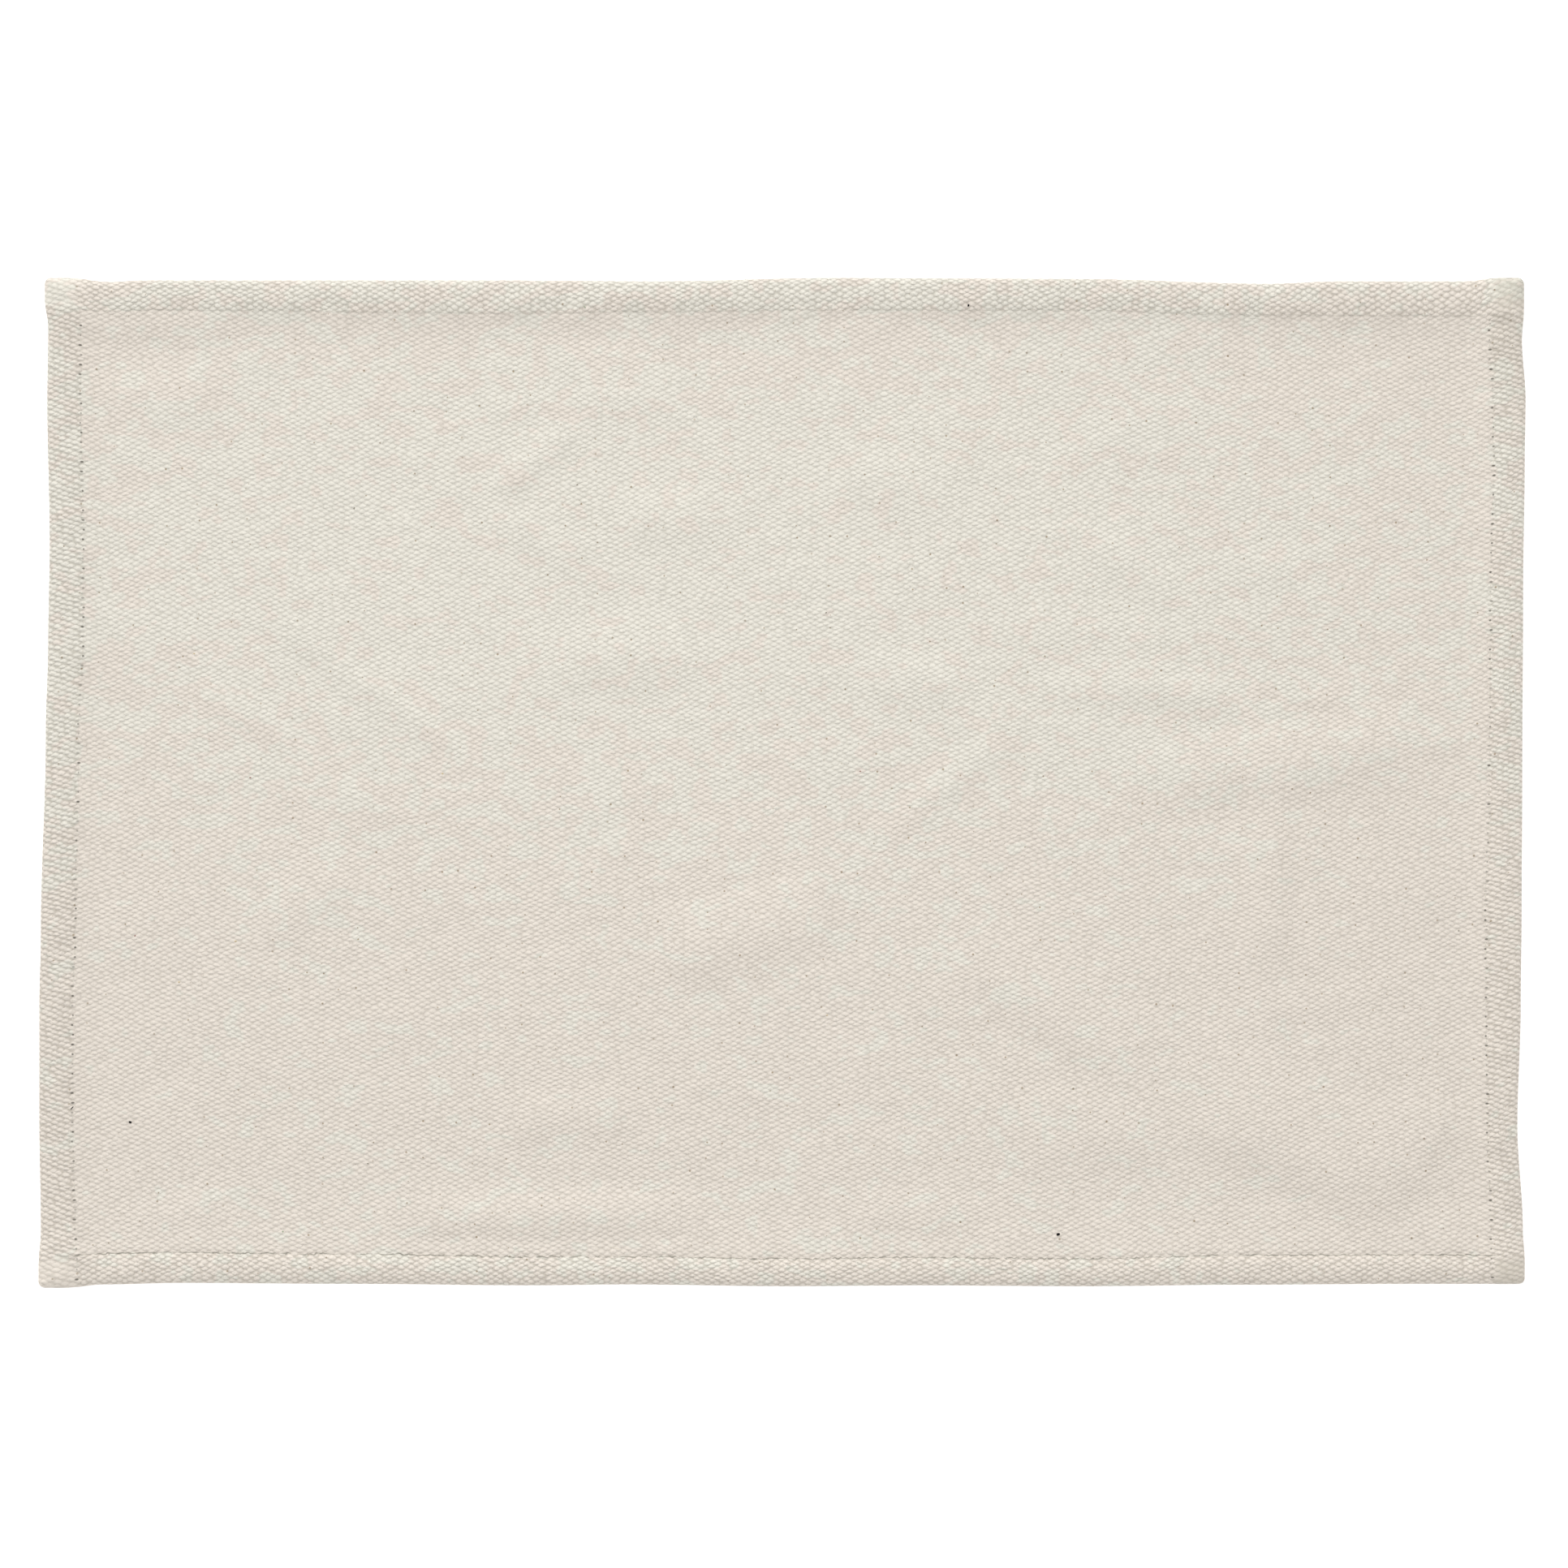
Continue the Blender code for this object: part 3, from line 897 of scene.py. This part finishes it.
# %% [markdown]
# ## The weave
#
# The canvas is a plain weave beaten up close, so each visible float is a small plump lens, and
# the lenses lie like bricks, each row shifted by half a float. Counted along the two slanting
# directions, the middles of the lenses are whole numbers. A cell texture on these two counts
# draws one cell around each of them, and its randomness sets every float a little out of its
# place, so no two are alike. A second way, a product of waves, is smoother but far too regular.
#
# Each lens is a little arched, its tips hanging below its middle. In the side hems the lenses
# are turned downhill until neighbours join to ribs.

# %% Places of the floats
FLOAT_PITCH = 3.49  # mm between floats in one row
ROW_PITCH = 0.886  # mm between rows
FLOAT_DRIFT = 0.28  # how far out of its place a float may lie, as a share of its size
FLOAT_HALF_WIDTH = 1.38
FLOAT_HALF_HEIGHT = 0.86
FLOAT_ARCH = 0.38  # how far the tips hang below the middle, as a share of the half height
FLOAT_SMALLEST = 1.11  # distances in the smallest float are this many times longer
FLOAT_UNEVEN = 0.22  # and in the largest one, less by this
RIB_SLANT = 0.36  # turns the floats of the side hems downhill, until neighbours join to ribs
BEND = 2.2  # mm that the rows wander
BEND_PATCH = 45.0  # mm
UNEVEN_SPIN = 1.35  # mm that single threads wander across the rows
SPIN_ALONG = 1.6  # how many times more along the rows
SPIN_PATCH = 7.0  # mm


def cells(tree, place, randomness):
    """Middle of the nearest cell, and the random colour of that cell, in two dimensions."""
    node = tree.nodes.new("ShaderNodeTexVoronoi")
    node.voronoi_dimensions = "2D"
    node.inputs["Scale"].default_value = 1.0
    node.inputs["Randomness"].default_value = randomness
    put(tree, node.inputs["Vector"], place)
    return node.outputs["Position"], node.outputs["Color"]


def wandering(tree, cloth_place):
    """The cloth's place, shifted by two noises less a half: a broad one bends the rows, and a fine
    one moves single threads."""
    half = (0.5, 0.5, 0.5)
    bend = sum_vectors(tree, "SUBTRACT", mottle(tree, cloth_place, BEND_PATCH, 1.0)[1], half)
    bend = times(tree, bend, BEND)
    spin = mottle(tree, cloth_place, SPIN_PATCH, 2.0, 2.0, 3.0)[1]
    spin = sum_vectors(tree, "SUBTRACT", spin, half)
    spin = sum_vectors(tree, "MULTIPLY", spin, (UNEVEN_SPIN * SPIN_ALONG, UNEVEN_SPIN, 0.0))
    return sum_vectors(tree, "ADD", sum_vectors(tree, "ADD", cloth_place, bend), spin)


def nearest_float(tree, place, beside):
    """Distance from the middle of the nearest float, and two random numbers of that float. The
    distance is the root of right squared plus up squared, each as a share of the float's half
    size. Up gains right squared times the arch, and in the side hems right times the slant."""
    u, v, _ = parts_of(tree, place)
    along = sum_up(tree, "DIVIDE", u, FLOAT_PITCH)
    over = sum_up(tree, "DIVIDE", v, 2.0 * ROW_PITCH)
    slanting = [sum_up(tree, operation, along, over) for operation in ("ADD", "SUBTRACT")]
    counts = vector_of(tree, *slanting)
    middle, chances = cells(tree, counts, FLOAT_DRIFT)
    uphill, downhill, _ = parts_of(tree, sum_vectors(tree, "SUBTRACT", counts, middle))
    right = sum_up(tree, "ADD", uphill, downhill)
    right = sum_up(tree, "MULTIPLY", right, 0.5 * FLOAT_PITCH / FLOAT_HALF_WIDTH)
    up = sum_up(tree, "SUBTRACT", uphill, downhill)
    up = sum_up(tree, "MULTIPLY", up, ROW_PITCH / FLOAT_HALF_HEIGHT)
    side_hem = ramp(tree, beside, 0.5 * MM, -1.0 * MM)
    up = sum_up(tree, "MULTIPLY_ADD", sum_up(tree, "MULTIPLY", side_hem, RIB_SLANT), right, up)
    right_square = sum_up(tree, "MULTIPLY", right, right)
    up = sum_up(tree, "MULTIPLY_ADD", right_square, FLOAT_ARCH, up)
    away = sum_up(tree, "SQRT", sum_up(tree, "MULTIPLY_ADD", up, up, right_square))
    chance, chance_tint, chance_size = parts_of(tree, chances)
    size = sum_up(tree, "MULTIPLY_ADD", chance_size, -FLOAT_UNEVEN, FLOAT_SMALLEST)
    return sum_up(tree, "MULTIPLY", away, size), chance, chance_tint


# %% [markdown]
# ## Relief of the weave
#
# A float stands about a third of a millimetre above the pores at its tips, and the mat has some
# fifty thousand of them. As a mesh they would take millions of faces, so they are a height for a
# bump node: a dome on each float, and two finer noises on top, for the slubs of the yarn and for
# single fibres. In the hems the floats stand up more, and at the thick corners they are pressed
# flat.

# %% Relief
RELIEF = 0.328 * MM
FLOAT_ROUND = 1.6  # 1 is a cone, 2 a round dome
LOWEST_DOME = 0.85
DOME_UNEVEN = 0.3
SLUB_SIZE = 1.2  # mm
SLUB_HEIGHT = 0.5  # share of a dome
FIBRE_SIZE = 0.58  # mm
FIBRE_HEIGHT = 0.75  # share of a dome
HEM_RELIEF = 0.33  # how much more the hems have


def weave_height(tree, place, away, chance, slub, in_hem):
    """Height of the weave: a dome, 1 less the distance to a power, uneven from float to float,
    plus the slubs and the fibres, all of it higher in the hems."""
    fibre = mottle(tree, place, FIBRE_SIZE, 2.0, 0.8, 5.0)[0]
    dome = sum_up(tree, "SUBTRACT", 1.0, sum_up(tree, "POWER", away, FLOAT_ROUND))
    dome = sum_up(tree, "MAXIMUM", dome, 0.0)
    tall = sum_up(tree, "MULTIPLY_ADD", chance, DOME_UNEVEN, LOWEST_DOME)
    height = sum_up(tree, "MULTIPLY", dome, tall)
    height = sum_up(tree, "MULTIPLY_ADD", slub, SLUB_HEIGHT, height)
    height = sum_up(tree, "MULTIPLY_ADD", fibre, FIBRE_HEIGHT, height)
    more = sum_up(tree, "MULTIPLY_ADD", in_hem, HEM_RELIEF, 1.0)
    return sum_up(tree, "MULTIPLY", height, more)


# %% [markdown]
# ## Patches, specks, and painted shade at the holes and the seams
#
# Undyed cotton is never one colour. Parts of this mat look a little warmer, in crisp patches a
# few floats wide. Fine dots of seed husk are strewn all over it, the needle has left holes in
# the side seams, and the stitches of the two long seams sink in a dark, broken line. The dark
# of the holes and of that line is painted shade. Each of these is worked out as a share from 0
# to 1, and is then mixed over the colour below it. An image could hold them too, but it would
# have to be drawn, and would blur close up.

# %% Warm patches
WARM_PATCH = 5.0  # mm
# Columns: start and end of a climb over the mat, in mm, level of warm patches at both
WARM_BODY = (62.0, -65.0, -0.10, 0.12)
WARM_FAR = (95.0, 150.0, 0.0, 0.13)
WARM_RIGHT = (100.0, 215.0, 0.0, 0.13)
WARM_LEFT = (-165.0, -225.0, 0.0, 0.07)
WARM_IN_HEM = -0.07
WARM_BY_FLOAT = 0.06
WARM_CUT = (0.49, 0.57)  # levels of no warm tint and of all of it


def warm_share(tree, cloth_place, table_place, in_hem, chance):
    """Share of the warm tint: patchy noise plus a level that changes over the mat, cut crisply."""
    x, y, _ = parts_of(tree, table_place)
    patch = mottle(tree, cloth_place, WARM_PATCH, 1.0, 1.5, 9.0)[0]
    level = ramp(tree, y, *WARM_BODY)
    for place, climb in ((y, WARM_FAR), (x, WARM_RIGHT), (x, WARM_LEFT)):
        level = sum_up(tree, "ADD", level, ramp(tree, place, *climb))
    level = sum_up(tree, "MULTIPLY_ADD", in_hem, WARM_IN_HEM, level)
    level = sum_up(tree, "ADD", level, patch)
    level = sum_up(tree, "MULTIPLY_ADD", chance, WARM_BY_FLOAT, level)
    return ramp(tree, level, *WARM_CUT)


# %% Needle holes
HOLE_HEIGHT = 0.45 * MM
HOLE_WIDTH = 0.55 * MM
HOLE_SHIFT = 0.5 * MM
HOLE_STRENGTH = (0.42, 0.9)  # of the faintest and of the darkest
HOLES_TO = (150.0, 154.0)  # mm from the middle, where they fade out at the far corners


def needle_holes(tree, beside, beyond, table_y):
    """Painted shade in the needle holes: dark dots between the stitches of the side seams, each
    with its own strength and shift.
    """
    count = int((DEPTH - SEAM_MARGIN) / STITCH_PITCH)
    first = (DEPTH - (count - 1) * STITCH_PITCH) / 2.0
    along = sum_up(tree, "DIVIDE", sum_up(tree, "ADD", beyond, END_HEM - first), STITCH_PITCH)
    number = sum_up(tree, "FLOOR", along)
    chance_node = tree.nodes.new("ShaderNodeTexWhiteNoise")
    put(tree, chance_node.inputs["Vector"], vector_of(tree, number, 0.5))
    strength, shift, wide = parts_of(tree, chance_node.outputs["Color"])
    up = sum_up(tree, "SUBTRACT", sum_up(tree, "FRACT", along), 0.5)
    up = sum_up(tree, "MULTIPLY", up, STITCH_PITCH / HOLE_HEIGHT)
    right = sum_up(tree, "SUBTRACT", beside, HOLE_SHIFT / 2.0)
    right = sum_up(tree, "MULTIPLY_ADD", shift, HOLE_SHIFT, right)
    half_width = sum_up(tree, "MULTIPLY_ADD", wide, HOLE_WIDTH, HOLE_WIDTH / 2.0)
    right = sum_up(tree, "DIVIDE", right, half_width)
    away = sum_up(tree, "MULTIPLY_ADD", right, right, sum_up(tree, "MULTIPLY", up, up))
    away = sum_up(tree, "SQRT", away)
    strength = ramp(tree, strength, 0.0, 0.7, *HOLE_STRENGTH)
    hole_shade = sum_up(tree, "MULTIPLY", soft_dot(tree, away), strength)
    return sum_up(tree, "MULTIPLY", hole_shade, ramp(tree, table_y, *HOLES_TO, 1.0, 0.0))


# %% Specks
SPECK_SPACING = 5.5  # mm
SPECK_SIZE = 0.34  # mm, half of the middling speck's width
SPECKLESS = 0.6  # share of the cells that keep none
SPECK_STRENGTH = 0.85  # of the strongest


def specks(tree, place):
    """Share of the tiny husk specks: two cells in five keep a dot, faint or strong, each of its own
    size."""
    node = tree.nodes.new("ShaderNodeTexVoronoi")
    node.voronoi_dimensions = "2D"
    node.inputs["Scale"].default_value = 1.0 / SPECK_SPACING
    put(tree, node.inputs["Vector"], place)
    kept, size, _ = parts_of(tree, node.outputs["Color"])
    middling = SPECK_SIZE / SPECK_SPACING
    reach = sum_up(tree, "MULTIPLY_ADD", size, middling, 0.5 * middling)
    away = sum_up(tree, "DIVIDE", node.outputs["Distance"], reach)
    strength = ramp(tree, kept, SPECKLESS, 1.0, 0.0, SPECK_STRENGTH)
    return sum_up(tree, "MULTIPLY", soft_dot(tree, away), strength)


# %% Painted shade along the long seams
CREASE_HALF = 0.34 * MM
CREASE_WANDER = 1.5 * MM
WANDER_SIZE = 1.9  # mm
BREAK_SIZE = 2.1  # mm
NEAR_SEAM_SHADE = 0.85  # strength of the near seam's painted shade, and of the far seam's
FAR_SEAM_SHADE = 0.28


def end_seam_shade(tree, place, beside, beyond):
    """Share of the painted shade in which the stitches of an end seam sink: a dark line, broken
    and wandering.
    """
    wander = sum_up(tree, "SUBTRACT", mottle(tree, place, WANDER_SIZE, 1.0, 1.0, 4.0)[0], 0.5)
    away = sum_up(tree, "ABSOLUTE", sum_up(tree, "MULTIPLY_ADD", wander, CREASE_WANDER, beyond))
    line = ramp(tree, away, 0.2 * CREASE_HALF, CREASE_HALF, 1.0, 0.0)
    broken = mottle(tree, place, BREAK_SIZE, 1.0, 1.6, 6.0)[0]
    broken = ramp(tree, broken, 0.34, 0.54, 0.15, 1.0)
    strength = ramp(tree, parts_of(tree, place)[1], -10.0, 10.0, NEAR_SEAM_SHADE, FAR_SEAM_SHADE)
    broken = sum_up(tree, "MULTIPLY", broken, strength)
    between_seams = ramp(tree, beside, -3.0 * MM, 0.0)
    return sum_up(tree, "MULTIPLY", sum_up(tree, "MULTIPLY", line, broken), between_seams)


# %% [markdown]
# ## The canvas, put together
#
# The farther from the middle of a float, the darker the cloth, down to the pores, as painted
# shade between the floats. Over this come the patches, the specks, and the painted shade of the
# holes and of the seam line, then small random differences of tone. The hems get painted light,
# and the corners and far ends of the side hems painted shade. All of it reads the cloth's own
# map, the distances from the seams, or the place on the table, so the finish stays on the cloth
# wherever the camera is.

# %% Canvas
FLOAT_COLOUR = (0.82, 0.787, 0.702, 1.0)
# painted shade in the pores between the floats
GROOVE_SHADE_COLOUR = (0.56, 0.53, 0.455, 1.0)
PLAIN = (1.0, 1.0, 1.0, 1.0)
WARM = (1.0, 0.955, 0.956, 1.0)
# painted shade for the corners and the far ends of the side hems
PAINTED_SHADE_COLOUR = (0.83, 0.833, 0.815, 1.0)
SPECK_COLOUR = (0.33, 0.25, 0.16, 1.0)
# painted shade in the needle holes
HOLE_SHADE_COLOUR = (0.16, 0.15, 0.125, 1.0)
# painted shade in the line where the stitches of the long seams sink
SEAM_SHADE_COLOUR = (0.30, 0.28, 0.235, 1.0)
GROOVE_SHADE_SHARE = 0.475  # of the painted groove shade in the pores, and how much more in the hems
HEM_GROOVE_SHADE = 0.36
CORNER_FLAT = 0.4  # share of the relief and of the painted groove shade that is lost at the corners
NEAR_PAINTED_LIGHT = 0.055  # painted light: how much lighter the near hem is made, and the rest of the hems
HEM_PAINTED_LIGHT = 0.025
# painted light on the right hem as well
RIGHT_PAINTED_LIGHT = 0.014
# painted shade at the far ends of the side hems
FAR_SHADE_LEVEL = 0.45


def tinted(tree, colour, tint):
    """The product of two colours."""
    return sum_vectors(tree, "MULTIPLY", colour, tint)


def shaded(tree, colour, chance, slub, in_hem, table_x, table_y):
    """The colour times a shade of its own for each float and slub, and painted light that makes the
    hems lighter, the near hem and the right one most.
    """
    shade = sum_up(tree, "MULTIPLY_ADD", chance, 0.06, 0.97)
    shade = sum_up(tree, "MULTIPLY", shade, sum_up(tree, "MULTIPLY_ADD", slub, 0.10, 0.95))
    # painted light: the hems are made lighter, the near one and the right one most
    lift = ramp(tree, table_y, -150.0, -140.0, NEAR_PAINTED_LIGHT, HEM_PAINTED_LIGHT)
    lift = sum_up(tree, "ADD", lift, ramp(tree, table_x, 215.0, 232.0, 0.0, RIGHT_PAINTED_LIGHT))
    shade = sum_up(tree, "MULTIPLY", shade, sum_up(tree, "MULTIPLY_ADD", in_hem, lift, 1.0))
    return tinted(tree, colour, vector_of(tree, shade, shade, shade))


def canvas():
    """Undyed cotton canvas on the cloth's own coordinates."""
    finish, tree, shader = new_finish("cotton_canvas_cloth", 0.95)
    shader.inputs["Sheen Weight"].default_value = 0.08
    shader.inputs["Sheen Roughness"].default_value = 0.5

    map_node = tree.nodes.new("ShaderNodeUVMap")
    map_node.uv_map = "cloth"
    cloth_place = times(tree, map_node.outputs[0], 1.0 / MM)
    seam_node = tree.nodes.new("ShaderNodeAttribute")
    seam_node.attribute_name = "seams"
    beside, beyond, in_hem = parts_of(tree, seam_node.outputs["Vector"])
    table_place = on_table(tree)
    table_x, table_y, _ = parts_of(tree, table_place)

    place = wandering(tree, cloth_place)
    away, chance, chance_tint = nearest_float(tree, place, beside)
    slub = mottle(tree, place, SLUB_SIZE, 2.0, 1.8, 7.0)[0]
    in_both = [ramp(tree, past, 0.5 * MM, -3.0 * MM) for past in (beside, beyond)]
    corner = sum_up(tree, "MULTIPLY", *in_both)
    plump = sum_up(tree, "MULTIPLY_ADD", corner, -CORNER_FLAT, 1.0)
    height = weave_height(tree, place, away, chance, slub, in_hem)
    emboss(tree, shader, sum_up(tree, "MULTIPLY", height, plump), RELIEF)

    # painted shade in the pores between the floats, more in the hems
    groove = ramp(tree, away, 0.35, 1.15)
    share = sum_up(tree, "MULTIPLY_ADD", in_hem, HEM_GROOVE_SHADE, GROOVE_SHADE_SHARE)
    groove = sum_up(tree, "MULTIPLY", sum_up(tree, "MULTIPLY", groove, share), plump)
    colour = mix_colours(tree, groove, FLOAT_COLOUR, GROOVE_SHADE_COLOUR)
    warm = warm_share(tree, cloth_place, table_place, in_hem, chance_tint)
    colour = tinted(tree, colour, mix_colours(tree, warm, PLAIN, WARM))
    for share, over in (
        (specks(tree, cloth_place), SPECK_COLOUR),
        (needle_holes(tree, beside, beyond, table_y), HOLE_SHADE_COLOUR),
        (end_seam_shade(tree, table_place, beside, beyond), SEAM_SHADE_COLOUR),
    ):
        colour = mix_colours(tree, share, colour, over)
    colour = shaded(tree, colour, chance, slub, in_hem, table_x, table_y)

    # painted shade: the corners and the far ends of the side hems made darker, the right ones most
    far_end_shade = ramp(tree, table_y, 105.0, 150.0, 0.0, FAR_SHADE_LEVEL)
    far_end_shade = sum_up(tree, "MULTIPLY", ramp(tree, beside, 1.0 * MM, -2.0 * MM), far_end_shade)
    painted_shade = sum_up(tree, "MAXIMUM", corner, far_end_shade)
    painted_shade = sum_up(tree, "MULTIPLY", painted_shade, ramp(tree, table_x, -100.0, 100.0, 0.2, 1.0))
    colour = tinted(tree, colour, mix_colours(tree, painted_shade, PLAIN, PAINTED_SHADE_COLOUR))
    put(tree, shader.inputs["Base Color"], colour)
    print(f"{finish.name}: {len(tree.nodes)} nodes")
    return finish


cloth.data.materials.append(canvas())

# %% [markdown]
# ## Thread and husk
#
# The thread is the same cotton, spun finer, so fine streaks of two close colours and a faint
# relief are enough for it. The husk takes the colour that each fleck keeps at its points, made
# uneven by a small noise. One finish for each colour of fleck would do as well, six times over.

# %% Thread and husk
THREAD_DULL = (0.62, 0.575, 0.49, 1.0)
THREAD_PALE = (0.78, 0.74, 0.65, 1.0)
THREAD_RELIEF = 0.06 * MM
STREAK_SIZE = 0.25  # mm
BLOTCH_SIZE = 0.3  # mm


def thread_finish():
    """Natural cotton thread, a little duller in fine streaks."""
    finish, tree, shader = new_finish("cotton_thread", 0.85)
    streak = mottle(tree, on_table(tree), STREAK_SIZE)[0]
    colour = mix_colours(tree, streak, THREAD_DULL, THREAD_PALE)
    put(tree, shader.inputs["Base Color"], colour)
    emboss(tree, shader, streak, THREAD_RELIEF)
    return finish


def fleck_finish():
    """Dry husk in the colour kept at its points, a little blotchy."""
    finish, tree, shader = new_finish("cotton_husk", 0.9)
    colour_node = tree.nodes.new("ShaderNodeAttribute")
    colour_node.attribute_name = "fleck_colour"
    blotch = mottle(tree, on_table(tree), BLOTCH_SIZE)[0]
    shade = sum_up(tree, "MULTIPLY_ADD", blotch, 0.5, 0.75)
    colour = tinted(tree, colour_node.outputs["Color"], vector_of(tree, shade, shade, shade))
    put(tree, shader.inputs["Base Color"], colour)
    return finish


flecks.data.materials.append(fleck_finish())
thread_look = thread_finish()
thread_top.data.materials.append(thread_look)
thread_under.data.materials.append(thread_look)

# %% [markdown]
# ## The cut sheet
#
# The sheet was cut larger than it lies: every side has two turnings of its hem inside.

# %% [markdown]
# ## Table, light and camera
#
# The mat was photographed from straight above on plain white. A long lens high above keeps
# the outline square. The light is soft: an even sky, and a large lamp low on the far side,
# a little to the left, which picks out the far side of every thread and fold.

# %% Table
TABLE_SIZE = 40.0
TABLE_CLEAR = 0.05 * MM  # keeps the table's face just under the cloth
TABLE_GLOW = 0.45  # the paper-white table of the photo, brighter than the light alone makes it
table_mesh = bpy.data.meshes.new("table_top")
table_corners = TABLE_SIZE / 2.0 * np.array([(-1, -1, 0), (1, -1, 0), (1, 1, 0), (-1, 1, 0)])
table_mesh.from_pydata(table_corners, [], [(0, 1, 2, 3)])
table = bpy.data.objects.new("table_top", table_mesh)
bpy.context.scene.collection.objects.link(table)
table.location.z = -TABLE_CLEAR
white, _, white_shader = new_finish("white_table", 0.9)
white_shader.inputs["Base Color"].default_value = (0.86, 0.86, 0.86, 1.0)
white_shader.inputs["Emission Color"].default_value = (1.0, 1.0, 1.0, 1.0)
white_shader.inputs["Emission Strength"].default_value = TABLE_GLOW
table_mesh.materials.append(white)

# %% Light
SKY = 0.757
LAMP_POWER = 114.0
TOP_POWER = 0.42
world = bpy.data.worlds.new("soft_sky")
bpy.context.scene.world = world
world.use_nodes = True
sky = world.node_tree.nodes["Background"]
sky.inputs["Color"].default_value = (1.0, 1.0, 1.0, 1.0)
sky.inputs["Strength"].default_value = SKY
for name, power, size, place in (
    ("far_lamp", LAMP_POWER, 2.7, (-1.05, 4.35, 2.25)),
    ("top_lamp", TOP_POWER, 0.3, (-0.05, 0.10, 0.62)),
):
    lamp_data = bpy.data.lights.new(name, "AREA")
    lamp_data.energy = power
    lamp_data.size = size
    lamp = bpy.data.objects.new(name, lamp_data)
    lamp.location = place
    lamp.rotation_euler = lamp.location.to_track_quat("Z", "Y").to_euler()
    lamp.visible_camera = False
    bpy.context.scene.collection.objects.link(lamp)

# %% Camera
PIXEL = 0.2662 * MM  # size of one photo pixel on the mat
PHOTO_PIXELS = 1932
MAT_MIDDLE = (963.5, 964.5)  # where the middle of the mat's box lies in the photo
FACE_LEVEL = 2.0 * MM  # height at which a pixel has that size
camera_data = bpy.data.cameras.new("camera")
camera_data.lens = 100.0
camera_data.sensor_width = 36.0
camera = bpy.data.objects.new("camera", camera_data)
distance = PHOTO_PIXELS * PIXEL * camera_data.lens / camera_data.sensor_width
camera.location = (
    (PHOTO_PIXELS / 2.0 - MAT_MIDDLE[0]) * PIXEL,
    (MAT_MIDDLE[1] - PHOTO_PIXELS / 2.0) * PIXEL,
    distance + FACE_LEVEL,
)
bpy.context.scene.collection.objects.link(camera)
bpy.context.scene.camera = camera
bpy.context.scene.view_settings.view_transform = "Standard"
